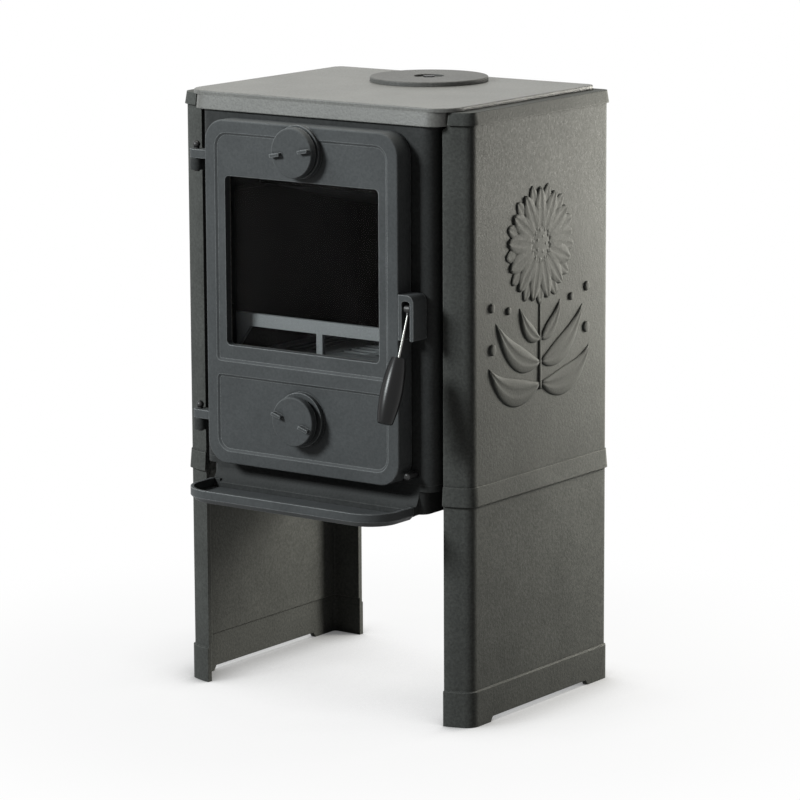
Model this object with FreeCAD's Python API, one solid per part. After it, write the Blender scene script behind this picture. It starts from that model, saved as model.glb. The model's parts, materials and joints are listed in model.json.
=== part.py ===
"""Free-standing cast iron box stove on tall panel legs.

Millimetres, +Z up, +X to the right as seen from the front, +Y from the front to the back.
Pieces are drawn with y = 0 on the front plane of the side casing, and are moved along Y as
they are saved, so that the origin lies on the floor under the middle of the stove's box.
"""
import FreeCAD, Part
import math
import os
from FreeCAD import Vector

# Side casing: two C-shaped upper panels, each standing on a C-shaped leg panel
CASE_HALF_WIDTH = 213.0
CASE_DEPTH = 305.0
CASE_WALL = 7.0
CASE_CORNER = 14.0
CASE_BOW = 11.0
BOW_R = 60.0
REAR_CORNER = 10.0
RETURN_FLAT = 6.0
FRONT_RETURN = 34.0
BOW_WIDTH = FRONT_RETURN - RETURN_FLAT
REAR_RETURN = 46.0
LEG_HEIGHT = 269.0
SIDE_PANEL_HEIGHT = 467.5
CASE_TOP = LEG_HEIGHT + SIDE_PANEL_HEIGHT
BAND_OUT = 3.0
BAND_TOP_OUT = 1.2
MID_BAND_HEIGHT = 23.0
RIM_HEIGHT = 15.0
RIM_TOP_OUT = 0.6
RIM_FLANGE_THICKNESS = 6.0
RIM_BEVEL = 6.0
FOOT_BAND_HEIGHT = 44.0
FOOT_BAND_BEVEL = 1.3
FOOT_BAND_OUT = 2.0
FOOT_STEP = 5.0
FOOT_LENGTH = 46.0
ARCH_HEIGHT = 6.4
ARCH_SLOPE = 5.0

# Fire body between the casings
AIR_GAP = 34.0
BODY_HALF_WIDTH = CASE_HALF_WIDTH - CASE_WALL - AIR_GAP
BODY_WALL = 8.0
FRAME_PROUD = 12.0
FRAME_CORNER = 15.0
FRAME_DEPTH = 20.0
BODY_REAR_GAP = 9.0
BODY_REAR = CASE_DEPTH - BODY_REAR_GAP
BODY_LIFT = 24.0
BODY_FLOOR = LEG_HEIGHT + BODY_LIFT
BODY_DROP = 16.5
BODY_TOP = CASE_TOP - BODY_DROP
FLOOR_THICKNESS = 8.0
BASE_DEPTH = 36.0
BASE_BOTTOM = BODY_FLOOR - BASE_DEPTH
BASE_INSET = 12.0
BASE_HALF_WIDTH = BODY_HALF_WIDTH - BASE_INSET
BASE_CORNER = 12.0
LEDGE_WIDTH = 9.0
LEDGE_HEIGHT = 10.0
GRATE_LIFT = 112.0
GRATE_BOTTOM = BODY_FLOOR + GRATE_LIFT
GRATE_THICKNESS = 12.0
BOLT_R = 4.0
BOLT_CLEARANCE = 0.2
BOLT_HEAD_R = 7.0
BOLT_HEAD_HEIGHT = 5.5
BOSS_R = 10.0
BOSS_LOW = 52.0
BOSS_HIGH = 30.0
BOSS_LOW_Z = BODY_FLOOR + BOSS_LOW
BOSS_HIGH_Z = BODY_TOP - BOSS_HIGH
BOSS_EDGE = 62.0
BOSS_BITE = 0.65 * AIR_GAP

# Hearth lip under the door and the ash shelf hung in front of it
LIP_INSET = 20.0
LIP_HALF_WIDTH = BODY_HALF_WIDTH - LIP_INSET
LIP_OUT = 10.0
LIP_DROP = 29.4
LIP_TOP = BODY_FLOOR - LIP_DROP
EAR_WIDTH = 12.0
EAR_RISE = 4.0
EAR_DEPTH = 5.0
SHELF_REACH = 70.0
SHELF_CORNER = 42.0
SHELF_STEP = 4.4
SHELF_TOP = LIP_TOP + SHELF_STEP
SHELF_FLOOR = 5.0
SHELF_RIM = 4.0
SHELF_BELLY = 6.0
SHELF_END_GAP = 1.0
SHELF_TONGUE = 18.0
SHELF_BOLT_INSET = 52.0
SHELF_BOLT_BITE = 7.0
SHELF_BOLT_X = LIP_HALF_WIDTH - SHELF_BOLT_INSET

# Top plate and the cover over its outlet
RIM_WIDTH = 26.0
CASE_PLATE_GAP = 2.0
PLATE_HALF_WIDTH = CASE_HALF_WIDTH - RIM_WIDTH - CASE_PLATE_GAP
PLATE_OVERHANG = 2.0
PLATE_FRONT = FRAME_PROUD + PLATE_OVERHANG
PLATE_REAR_LAP = 6.0
PLATE_REAR = BODY_REAR + PLATE_REAR_LAP
PLATE_RISE = 5.5
PLATE_TOP = CASE_TOP + PLATE_RISE
PLATE_SKIN = 9.0
PLATE_CORNER = 22.0
PLATE_LAP = 11.0
PLATE_SEAT_GAP = 0.3
PLATE_DRAFT = 2.4
PLATE_REAR_CORNER = 12.0
PLATE_NOSE = 1.6
OUTLET_INSET = 77.0
OUTLET_Y = PLATE_REAR - OUTLET_INSET
OUTLET_R = 55.0
COVER_R = 73.0
COVER_THICKNESS = 6.0
COVER_EDGE = 1.5
COVER_DISH_R = 19.0
COVER_DISH_DEPTH = 2.5
COVER_SPIGOT_WALL = 6.0
CLAMP_WIDTH = 22.0
CLAMP_THICKNESS = 6.0
CLAMP_OVERLAP = 14.0

# Flue collar on the back
FLUE_DROP = 80.0
FLUE_Z = BODY_TOP - FLUE_DROP
FLUE_BORE_R = 52.5
FLUE_OUTER_R = 59.5
FLUE_LENGTH = 44.0
FLUE_FLANGE_R = 75.0
FLUE_FLANGE_THICKNESS = 8.0
FLUE_BOLT_RING_R = 67.0
FLUE_BOLTS = 3

# Door
DOOR_SIDE = 29.0
DOOR_HALF_WIDTH = BODY_HALF_WIDTH - DOOR_SIDE
DOOR_BOTTOM = BODY_FLOOR
DOOR_HEAD = 7.5
DOOR_TOP = BODY_TOP - DOOR_HEAD
DOOR_FRONT = 40.0
DOOR_CORNER = 28.0
DOOR_SKIN = 8.0
DOOR_RIM = 13.0
DOOR_EDGE = 2.0
DOOR_FRAME_GAP = 1.5
DOOR_LAP = 17.0
OPENING_CORNER = 12.0
WINDOW_SIDE = 29.0
WINDOW_HALF_WIDTH = DOOR_HALF_WIDTH - WINDOW_SIDE
WINDOW_SILL = 146.0
WINDOW_BOTTOM = DOOR_BOTTOM + WINDOW_SILL
WINDOW_HEAD = 67.5
WINDOW_TOP = DOOR_TOP - WINDOW_HEAD
WINDOW_CORNER = 6.0
WINDOW_FRAME = 12.0
WINDOW_REVEAL = 12.0
PANEL_SLOPE = 3.2
PANEL_DEPTH = 2.0
PANEL_INSET = 15.0
PANEL_CORNER = 18.0
PANEL_SMALL_CORNER = 6.0
SPLIT_DROP = 20.0
SPLIT_HEIGHT = 16.0
PANEL_SPLIT_HIGH = WINDOW_BOTTOM - SPLIT_DROP
PANEL_SPLIT_LOW = PANEL_SPLIT_HIGH - SPLIT_HEIGHT
ROPE_R = 4.0
ROPE_GAP = 0.3
ROPE_SLACK = 0.2
GLASS_LAP = 6.0
GLASS_THICKNESS = 4.0
GASKET_THICKNESS = 1.0
CLIP_WIDTH = 16.0
CLIP_THICKNESS = 2.0
CLIP_BITE = 5.0
CLIP_BOSS_R = 4.0
CLIP_SCREW_R = 2.0
CLIP_INSET = 40.0

# Air spinners: discs that screw in and out of the door over a ring of air slots
SPINNER_R = 30.0
SPINNER_THICKNESS = 9.0
SPINNER_EDGE = 2.0
SPINNER_FIN_INNER = 14.0
SPINNER_FIN_HEIGHT = 6.0
SPINNER_FIN_THICKNESS = 4.0
SPINNER_BORE_DEPTH = 6.0
SEAT_HEIGHT = 4.5
SEAT_WALL = 9.0
SPINDLE_R = 5.0
SPINDLE_FIT = 0.05
HUB_FIT = 0.08
SLOT_INNER_R = 11.5
SLOT_OUTER_R = 17.5
SLOT_ANGLE = 80.0
LOCKNUT_R = 8.0
LOCKNUT_THICKNESS = 6.0
LOCKNUT_CLEARANCE = 1.0
UPPER_SPINNER_DROP = 30.7
UPPER_SPINNER_Z = DOOR_TOP - UPPER_SPINNER_DROP
UPPER_SEAT_R = 32.0
UPPER_GAP = 3.0
UPPER_TRAVEL_OUT = 7.5
UPPER_FIN_TURN = 9.5
LOWER_SPINNER_RISE = 66.7
LOWER_SPINNER_Z = DOOR_BOTTOM + LOWER_SPINNER_RISE
LOWER_SEAT_R = 33.0
LOWER_GAP = 6.0
LOWER_TRAVEL_OUT = 4.5
LOWER_FIN_TURN = -18.0

# Door hinges
HINGE_OUT = 20.0
HINGE_X = -DOOR_HALF_WIDTH - HINGE_OUT
HINGE_SET = 10.0
HINGE_Y = HINGE_SET - DOOR_FRONT
HINGE_PIN_R = 3.5
HINGE_FIT = 0.06
HINGE_SEAT_FIT = 0.02
KNUCKLE_R = 8.0
KNUCKLE_HEIGHT = 10.5
KNUCKLE_GAP = 0.4
BRACKET_HEIGHT = 14.5
PIN_TAIL = 2.0
PIN_BALL_R = 4.6
PAD_GAP = 4.0
PAD_INNER = DOOR_HALF_WIDTH + PAD_GAP
PAD_OUTER = BODY_HALF_WIDTH - FRAME_CORNER
PAD_THICKNESS = 3.0
PAD_REACH = 13.0
HINGE_SCREW_HEAD_R = 4.2
HINGE_SCREW_HEAD = 2.6
UPPER_LUG_DROP = 49.5
LOWER_LUG_RISE = 50.6
UPPER_LUG_BOTTOM = DOOR_TOP - UPPER_LUG_DROP
LOWER_LUG_BOTTOM = DOOR_BOTTOM + LOWER_LUG_RISE

# Door handle: hood on the door's edge, pivoting lever with a barrel grip, keeper on the frame
HOOD_OUT = 22.0
HOOD_WALL = 5.0
HANDLE_RISE = 214.0
HANDLE_Z = DOOR_BOTTOM + HANDLE_RISE
HOOD_OVER = 17.0
HOOD_UNDER = 37.0
HOOD_TOP = HANDLE_Z + HOOD_OVER
HOOD_BOTTOM = HANDLE_Z - HOOD_UNDER
HOOD_CORNER = 9.0
HOOD_ROOF = 7.0
HANDLE_SET = 7.0
HANDLE_Y = HANDLE_SET - DOOR_FRONT
HANDLE_PIN_R = 3.0
HANDLE_FIT = 0.06
HANDLE_SEAT_FIT = 0.02
LEVER_WIDTH = 7.0
LEVER_HUB_R = 5.6
LEVER_LEAN = 21.0
ROD_R = 1.5
ROD_LENGTH = 59.0
GRIP_LENGTH = 79.0
GRIP_MAX_R = 13.0
GRIP_NECK_R = 8.4
GRIP_END_R = 9.0
GRIP_FIT = 0.02
NOSE_REACH = 22.0
NOSE_THICKNESS = 5.0
NOSE_ANGLE = 46.0
KEEPER_WIDTH = 6.5
KEEPER_REACH = 8.0
KEEPER_HEIGHT = 16.0
KEEPER_GAP = 0.8

# Fire lining and grates
BRICK = 24.0
BRICK_FRONT = 14.0
BACK_BRICK_DROP = 150.0
BACK_BRICK_TOP = BODY_TOP - BACK_BRICK_DROP
BAFFLE_RISE = 48.0
BAFFLE_DEPTH = 196.0
BAFFLE_THICKNESS = 8.0
BAFFLE_SIDE_GAP = 1.0
GRATE_HOLE_HALF_WIDTH = 60.0
GRATE_HOLE_LENGTH = 130.0
GRATE_HOLE_INSET = 72.0
GRATE_LIP = 6.0
GRATE_LIP_HEIGHT = 4.0
GRATE_FIT = 0.4
RIDDLE_TRAVEL = 25.0
SLAT_GAP = 9.0
SLAT_BAR = 7.0
SIDE_SLOTS = 3
RETAINER_END_GAP = 2.0
RETAINER_HEIGHT = 56.5
RETAINER_THICKNESS = 6.0
RETAINER_BAR = 15.5
RETAINER_RIB = 9.0
RETAINER_FRAME_GAP = 0.5
RETAINER_SLANT = 18.0

# Riddling rod and ash pan
ROD_OUT = 5.0
ROD_X = DOOR_HALF_WIDTH + ROD_OUT
ROD_RISE = 12.6
ROD_Z = BODY_FLOOR + ROD_RISE
RIDDLE_ROD_R = 4.0
RIDDLE_HOLE_GAP = 0.3
RIDDLE_KNOB_R = 4.6
RIDDLE_KNOB_LENGTH = 11.0
RIDDLE_FRONT = 33.0
ARM_WIDTH = 8.0
PAN_SIDE_GAP = 8.0
PAN_HEIGHT = 52.0
PAN_WALL = 2.0
PAN_FRONT = 6.0
PAN_REAR_GAP = 24.0
PAN_FLARE = 4.0
RUNNER_WIDTH = 10.0
RUNNER_INSET = 30.0
PAN_SILL_GAP = 2.0

# Places worked out from the driving sizes
CASE_INNER_X = CASE_HALF_WIDTH - CASE_WALL
BOLT_HOLE_R = BOLT_R + BOLT_CLEARANCE
RIM_CUT_X = CASE_HALF_WIDTH - RIM_WIDTH
FRAME_FRONT = -FRAME_PROUD
FRAME_BACK = FRAME_FRONT + FRAME_DEPTH
FRAME_INNER = FRAME_FRONT + BODY_WALL
BACK_INNER = BODY_REAR - BODY_WALL
WALL_INNER_X = BODY_HALF_WIDTH - BODY_WALL
OPENING_HALF_WIDTH = DOOR_HALF_WIDTH - DOOR_LAP
OPENING_BOTTOM = DOOR_BOTTOM + DOOR_LAP
PAN_HALF_WIDTH = OPENING_HALF_WIDTH - PAN_SIDE_GAP
TONGUE_HALF_WIDTH = OPENING_HALF_WIDTH - RETAINER_END_GAP
RETAINER_HALF_WIDTH = WALL_INNER_X - BRICK - RETAINER_END_GAP
OPENING_TOP = DOOR_TOP - DOOR_LAP
GRATE_TOP = GRATE_BOTTOM + GRATE_THICKNESS
RETAINER_TOP = GRATE_TOP + RETAINER_HEIGHT
BAFFLE_FRONT = BACK_INNER - BAFFLE_DEPTH
GRATE_HOLE_REAR = BACK_INNER - GRATE_HOLE_INSET
GRATE_HOLE_FRONT = GRATE_HOLE_REAR - GRATE_HOLE_LENGTH
PAN_BOTTOM = OPENING_BOTTOM + PAN_SILL_GAP
LIP_FRONT = FRAME_FRONT - LIP_OUT
SHELF_BACK = LIP_FRONT
SHELF_FRONT = SHELF_REACH - LIP_FRONT
SHELF_BOTTOM = BASE_BOTTOM - SHELF_FLOOR
DOOR_FACE = -DOOR_FRONT
DOOR_BACK = FRAME_FRONT - DOOR_FRAME_GAP
SKIN_BACK = DOOR_FACE + DOOR_SKIN
REVEAL_BACK = DOOR_FACE + WINDOW_REVEAL
GLASS_FRONT = REVEAL_BACK + GASKET_THICKNESS
GLASS_BACK = GLASS_FRONT + GLASS_THICKNESS
GLASS_HALF_WIDTH = WINDOW_HALF_WIDTH + GLASS_LAP
CLIP_X = DOOR_HALF_WIDTH - DOOR_RIM - CLIP_BOSS_R
ROPE_Y = FRAME_FRONT - ROPE_GAP - ROPE_R
ROPE_INSET = DOOR_RIM / 2.0
HOOD_LEFT = DOOR_HALF_WIDTH
HOOD_RIGHT = DOOR_HALF_WIDTH + HOOD_OUT
HANDLE_X = (HOOD_LEFT + HOOD_RIGHT) / 2.0
COLLAR_END = BODY_REAR + FLUE_LENGTH
MIDDLE_Y = (COLLAR_END - SHELF_FRONT) / 2.0
BOSS_PLACES = [(y, z) for y in (BOSS_EDGE, CASE_DEPTH - BOSS_EDGE) for z in (BOSS_LOW_Z, BOSS_HIGH_Z)]


# Drawing helpers
def along(axis, u, v, at):
    """Point of a profile: (u, v) is (x, y), (x, z) or (y, z) when axis is z, y or x."""
    places = {"z": (u, v, at), "y": (u, at, v), "x": (at, u, v)}
    return Vector(*places[axis])


def outline(points, radii, axis, at):
    """Closed wire through the points, with a tangent arc of the stated radius at each corner."""
    count = len(points)
    if not isinstance(radii, (list, tuple)):
        radii = [radii] * count
    flat = [Vector(u, v, 0) for u, v in points]
    starts, ends, middles = [], [], []
    for i, corner in enumerate(flat):
        back = (flat[i - 1] - corner).normalize()
        ahead = (flat[(i + 1) % count] - corner).normalize()
        half = back.getAngle(ahead) / 2.0
        reach = radii[i] / math.tan(half)
        bisector = (back + ahead).normalize()
        starts.append(corner + back * reach)
        ends.append(corner + ahead * reach)
        middles.append(corner + bisector * (radii[i] / math.sin(half) - radii[i]))
    edges = []
    for i in range(count):
        if radii[i] > 0:
            bend = [along(axis, p.x, p.y, at) for p in (starts[i], middles[i], ends[i])]
            edges.append(Part.Arc(*bend).toShape())
        tail, head = ends[i], starts[(i + 1) % count]
        if tail.distanceToPoint(head) > 1e-6:
            run = [along(axis, p.x, p.y, at) for p in (tail, head)]
            edges.append(Part.LineSegment(*run).toShape())
    return Part.Wire(edges)


def prism(points, axis, start, end, radii=0.0):
    """Solid of constant section along an axis."""
    step = {"z": Vector(0, 0, 1), "y": Vector(0, 1, 0), "x": Vector(1, 0, 0)}[axis]
    return Part.Face(outline(points, radii, axis, start)).extrude(step * (end - start))


def rectangle(u0, u1, v0, v1):
    """Corner points of a rectangle, from the low corner round by the high u side."""
    return [(u0, v0), (u1, v0), (u1, v1), (u0, v1)]


def box(x0, x1, y0, y1, z0, z1):
    """Upright box between two corners."""
    return Part.makeBox(x1 - x0, y1 - y0, z1 - z0, Vector(x0, y0, z0))


def rod(radius, start, end):
    """Round bar between two points."""
    run = end - start
    return Part.makeCylinder(radius, run.Length, start, run)


def rod_x(radius, x0, x1, y, z):
    """Round bar along X."""
    return rod(radius, Vector(x0, y, z), Vector(x1, y, z))


def rod_y(radius, y0, y1, x, z):
    """Round bar along Y."""
    return rod(radius, Vector(x, y0, z), Vector(x, y1, z))


def rod_z(radius, z0, z1, x, y):
    """Round bar along Z."""
    return rod(radius, Vector(x, y, z0), Vector(x, y, z1))


def loft(wires):
    """Solid with straight sides through two closed outlines."""
    return Part.makeLoft(wires, True, True)


def mirrored(shape):
    """Copy of a right-hand piece for the left-hand side."""
    return shape.mirror(Vector(0, 0, 0), Vector(1, 0, 0))


def hexagon(radius, axis, start, end, u, v):
    """Six-sided bar whose corners lie on the stated radius."""
    corners = [(u + radius * math.cos(math.radians(60 * i)), v + radius * math.sin(math.radians(60 * i)))
               for i in range(6)]
    return prism(corners, axis, start, end)


def round_edges(shape, radius, wanted):
    """Round the edges that the test picks out."""
    return shape.makeFillet(radius, [edge for edge in shape.Edges if wanted(edge)])


def lies_at(edge, axis, value):
    """True where a whole edge lies in one plane across an axis."""
    low = {"x": edge.BoundBox.XMin, "y": edge.BoundBox.YMin, "z": edge.BoundBox.ZMin}[axis]
    high = {"x": edge.BoundBox.XMax, "y": edge.BoundBox.YMax, "z": edge.BoundBox.ZMax}[axis]
    return abs(low - value) < 1e-3 and abs(high - value) < 1e-3


# Side casing
def case_block(out_low, z_low, out_high, z_high):
    """Right-hand casing filled in, between two heights, with its faces moved out or in.

    Its front bows back from the return's flat to the corner.
    """
    slope = math.atan2(CASE_BOW, BOW_WIDTH)
    wires = []
    for out, z in ((out_low, z_low), (out_high, z_high)):
        side = CASE_HALF_WIDTH + out
        points = [(0.0, -out), (CASE_HALF_WIDTH - BOW_WIDTH + out * math.tan(slope / 2.0), -out),
                  (side, CASE_BOW - out * math.tan(math.pi / 4.0 - slope / 2.0)),
                  (side, CASE_DEPTH + out), (0.0, CASE_DEPTH + out)]
        wires.append(outline(points, [0.0, BOW_R + out, CASE_CORNER + out, REAR_CORNER + out, 0.0], "z", z))
    return loft(wires)


def open_inward(shape, z0, z1):
    """Cut the casing off at the free edges of its front and rear returns."""
    middle = CASE_DEPTH / 2.0
    shape = shape.cut(box(-1.0, CASE_HALF_WIDTH - FRONT_RETURN, -CASE_DEPTH, middle, z0 - 1, z1 + 1))
    return shape.cut(box(-1.0, CASE_HALF_WIDTH - REAR_RETURN, middle, 2 * CASE_DEPTH, z0 - 1, z1 + 1))


def leg_panel():
    """Right leg panel with its foot band and the shallow arch between the feet."""
    bevel_start = FOOT_BAND_HEIGHT - FOOT_BAND_BEVEL
    leg = case_block(0.0, 0.0, 0.0, LEG_HEIGHT)
    leg = leg.fuse(case_block(FOOT_BAND_OUT, 0.0, FOOT_BAND_OUT, bevel_start))
    leg = leg.fuse(case_block(FOOT_BAND_OUT, bevel_start, 0.0, FOOT_BAND_HEIGHT))
    leg = leg.cut(case_block(-CASE_WALL, -1.0, -CASE_WALL, LEG_HEIGHT + 1.0))
    inward = FOOT_BAND_OUT - CASE_WALL
    leg = leg.cut(case_block(inward, -1.0, inward, FOOT_BAND_HEIGHT + FOOT_STEP))
    leg = open_inward(leg, 0.0, LEG_HEIGHT)
    front, rear = FOOT_LENGTH, CASE_DEPTH - FOOT_LENGTH
    arch = [(front, -1.0), (rear, -1.0), (rear - ARCH_SLOPE, ARCH_HEIGHT), (front + ARCH_SLOPE, ARCH_HEIGHT)]
    leg = leg.cut(prism(arch, "x", 0.0, CASE_HALF_WIDTH + 2 * BAND_OUT))
    return leg.removeSplitter()


def side_panel():
    """Right upper panel with its skirt band, its rim and the bosses that carry the fire body."""
    rim_bottom = CASE_TOP - RIM_HEIGHT
    panel = case_block(0.0, LEG_HEIGHT, 0.0, CASE_TOP)
    panel = panel.fuse(case_block(BAND_OUT, LEG_HEIGHT, BAND_TOP_OUT, LEG_HEIGHT + MID_BAND_HEIGHT))
    panel = panel.fuse(case_block(BAND_OUT, rim_bottom, RIM_TOP_OUT, CASE_TOP))
    flange_bottom = CASE_TOP - RIM_FLANGE_THICKNESS
    panel = panel.cut(case_block(-CASE_WALL, LEG_HEIGHT - 1.0, -CASE_WALL, flange_bottom))
    panel = open_inward(panel, LEG_HEIGHT, CASE_TOP)
    edge = CASE_HALF_WIDTH - FRONT_RETURN
    relief = [(-1.0, rim_bottom - RIM_BEVEL), (edge, rim_bottom - RIM_BEVEL), (RIM_CUT_X, rim_bottom),
              (RIM_CUT_X, CASE_TOP + 1.0), (-1.0, CASE_TOP + 1.0)]
    panel = panel.cut(prism(relief, "y", -2 * BAND_OUT, CASE_DEPTH + 2 * BAND_OUT))
    for y, z in BOSS_PLACES:
        panel = panel.fuse(rod_x(BOSS_R, BODY_HALF_WIDTH, CASE_INNER_X + 1.0, y, z))
        panel = panel.cut(rod_x(BOLT_HOLE_R, BODY_HALF_WIDTH - 1.0, BODY_HALF_WIDTH + BOSS_BITE, y, z))
    return panel.removeSplitter()


def panel_bolts():
    """Bolts from inside the fire body into the casing's bosses, both sides."""
    bolts = []
    for y, z in BOSS_PLACES:
        shank = rod_x(BOLT_R, WALL_INNER_X, BODY_HALF_WIDTH + BOSS_BITE - BOLT_CLEARANCE, y, z)
        head = hexagon(BOLT_HEAD_R, "x", WALL_INNER_X - BOLT_HEAD_HEIGHT, WALL_INNER_X, y, z)
        bolt = shank.fuse(head).removeSplitter()
        bolts += [bolt, mirrored(bolt)]
    return Part.makeCompound(bolts)


# Fire body
def front_frame():
    """Front casting: rounded upright corners, the door opening and the riddling rod's hole."""
    outer = prism(rectangle(-BODY_HALF_WIDTH, BODY_HALF_WIDTH, FRAME_FRONT, FRAME_BACK), "z",
                  BODY_FLOOR, BODY_TOP, [FRAME_CORNER, FRAME_CORNER, 0.0, 0.0])
    inner_corner = FRAME_CORNER - BODY_WALL
    inner = prism(rectangle(-WALL_INNER_X, WALL_INNER_X, FRAME_INNER, FRAME_BACK + 1.0), "z",
                  BODY_FLOOR - 1.0, BODY_TOP + 1.0, [inner_corner, inner_corner, 0.0, 0.0])
    opening = prism(rectangle(-OPENING_HALF_WIDTH, OPENING_HALF_WIDTH, OPENING_BOTTOM, OPENING_TOP), "y",
                    FRAME_FRONT - 1.0, FRAME_INNER + 1.0, OPENING_CORNER)
    frame = outer.cut(inner).cut(opening)
    hole = rod_y(RIDDLE_ROD_R + RIDDLE_HOLE_GAP, FRAME_FRONT - 1.0, FRAME_INNER + 1.0, ROD_X, ROD_Z)
    return frame.cut(hole)


def body_wall():
    """Right body wall with the ledge that carries the grate."""
    wall = box(WALL_INNER_X, BODY_HALF_WIDTH, FRAME_BACK, BACK_INNER, BODY_FLOOR, BODY_TOP)
    ledge = box(WALL_INNER_X - LEDGE_WIDTH, WALL_INNER_X, FRAME_BACK, BACK_INNER,
                GRATE_BOTTOM - LEDGE_HEIGHT, GRATE_BOTTOM)
    wall = wall.fuse(ledge)
    for y, z in BOSS_PLACES:
        wall = wall.cut(rod_x(BOLT_HOLE_R, WALL_INNER_X - 1.0, BODY_HALF_WIDTH + 1.0, y, z))
    return wall.removeSplitter()


def flue_bolt_places():
    """Centres of the collar's bolts in the back wall, as (x, z)."""
    angles = [math.radians(90.0 + 360.0 * i / FLUE_BOLTS) for i in range(FLUE_BOLTS)]
    return [(FLUE_BOLT_RING_R * math.cos(a), FLUE_Z + FLUE_BOLT_RING_R * math.sin(a)) for a in angles]


def back_wall():
    """Back plate with the flue outlet."""
    wall = box(-BODY_HALF_WIDTH, BODY_HALF_WIDTH, BACK_INNER, BODY_REAR, BODY_FLOOR, BODY_TOP)
    wall = wall.cut(rod_y(FLUE_BORE_R, BACK_INNER - 1.0, BODY_REAR + 1.0, 0.0, FLUE_Z))
    for x, z in flue_bolt_places():
        wall = wall.cut(rod_y(BOLT_HOLE_R, BACK_INNER - 1.0, BODY_REAR + 1.0, x, z))
    return wall


def lip_profile():
    """Section of the hearth lip: a cove from the frame's front down to a rounded edge."""
    high, low = Vector(0, FRAME_FRONT, BODY_FLOOR), Vector(0, LIP_FRONT, LIP_TOP)
    centre = Vector(0, LIP_FRONT, BODY_FLOOR)
    slope = math.radians(-45.0)
    middle = centre + Vector(0, LIP_OUT * math.cos(slope), LIP_DROP * math.sin(slope))
    corners = [low, Vector(0, LIP_FRONT, BASE_BOTTOM), Vector(0, FRAME_INNER, BASE_BOTTOM),
               Vector(0, FRAME_INNER, BODY_FLOOR), high]
    edges = [Part.Arc(high, middle, low).toShape()]
    edges += [Part.LineSegment(a, b).toShape() for a, b in zip(corners, corners[1:])]
    return Part.Face(Part.Wire(edges))


def base_plate():
    """Base casting: the floor under the fire body, a skirt, and the coved hearth lip in front."""
    floor = prism(rectangle(-BODY_HALF_WIDTH, BODY_HALF_WIDTH, FRAME_FRONT, BODY_REAR), "z",
                  BODY_FLOOR - FLOOR_THICKNESS, BODY_FLOOR, [FRAME_CORNER, FRAME_CORNER, 0.0, 0.0])
    skirt = prism(rectangle(-BASE_HALF_WIDTH, BASE_HALF_WIDTH, FRAME_FRONT, BODY_REAR), "z",
                  BASE_BOTTOM, BODY_FLOOR, [BASE_CORNER, BASE_CORNER, 0.0, 0.0])
    hollow = box(BODY_WALL - BASE_HALF_WIDTH, BASE_HALF_WIDTH - BODY_WALL, FRAME_FRONT + BODY_WALL,
                 BACK_INNER, BASE_BOTTOM - 1.0, BODY_FLOOR - FLOOR_THICKNESS)
    base = floor.fuse(skirt).cut(hollow)
    lip = lip_profile()
    lip.translate(Vector(-LIP_HALF_WIDTH, 0, 0))
    base = base.fuse(lip.extrude(Vector(2 * LIP_HALF_WIDTH, 0, 0)))
    ear = box(LIP_HALF_WIDTH - EAR_WIDTH, LIP_HALF_WIDTH, LIP_FRONT, LIP_FRONT + EAR_DEPTH,
              BASE_BOTTOM, LIP_TOP + EAR_RISE)
    base = base.fuse(ear).fuse(mirrored(ear))
    for side in (-1, 1):
        base = base.cut(rod_z(BOLT_HOLE_R, BASE_BOTTOM - 1.0, BASE_BOTTOM + SHELF_BOLT_BITE,
                              side * SHELF_BOLT_X, shelf_bolt_y()))
        runner = side * (PAN_HALF_WIDTH - RUNNER_INSET)
        base = base.fuse(box(runner - RUNNER_WIDTH / 2, runner + RUNNER_WIDTH / 2, FRAME_INNER, BACK_INNER,
                             BODY_FLOOR, PAN_BOTTOM))
    return base.removeSplitter()


def shelf_bolt_y():
    """Depth of the ash shelf's bolts, in the middle of its tongue under the lip."""
    return SHELF_BACK + SHELF_TONGUE / 2.0


def shelf_block(inset, z_low, shrink, z_high):
    """Ash shelf's plan filled in, inset from its outline, with a smaller foot."""
    wires = []
    for extra, z in ((inset + shrink, z_low), (inset, z_high)):
        points = rectangle(extra - LIP_HALF_WIDTH, LIP_HALF_WIDTH - extra, extra - SHELF_FRONT, SHELF_BACK)
        corner = SHELF_CORNER - extra
        wires.append(outline(points, [corner, corner, 0.0, 0.0], "z", z))
    return loft(wires)


def ash_shelf():
    """Ash shelf: a shallow tray with a raised rim, and a tongue bolted under the hearth lip."""
    belly_top = SHELF_BOTTOM + SHELF_BELLY
    shelf = shelf_block(0.0, SHELF_BOTTOM, SHELF_BELLY, belly_top)
    shelf = shelf.fuse(shelf_block(0.0, belly_top, 0.0, SHELF_TOP))
    shelf = shelf.cut(shelf_block(SHELF_RIM, BASE_BOTTOM, 0.0, SHELF_TOP + 1.0))
    ends = box(-LIP_HALF_WIDTH - 1.0, LIP_HALF_WIDTH + 1.0, SHELF_BACK - SHELF_END_GAP, SHELF_BACK + 1.0,
               BASE_BOTTOM, SHELF_TOP + 1.0)
    tongue_half = LIP_HALF_WIDTH - EAR_WIDTH
    tongue = box(-tongue_half, tongue_half, SHELF_BACK, SHELF_BACK + SHELF_TONGUE, SHELF_BOTTOM, BASE_BOTTOM)
    shelf = shelf.cut(ends).fuse(tongue)
    for side in (-1, 1):
        shelf = shelf.cut(rod_z(BOLT_HOLE_R, SHELF_BOTTOM - 1.0, BASE_BOTTOM + 1.0,
                                side * SHELF_BOLT_X, shelf_bolt_y()))
    return shelf.removeSplitter()


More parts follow.
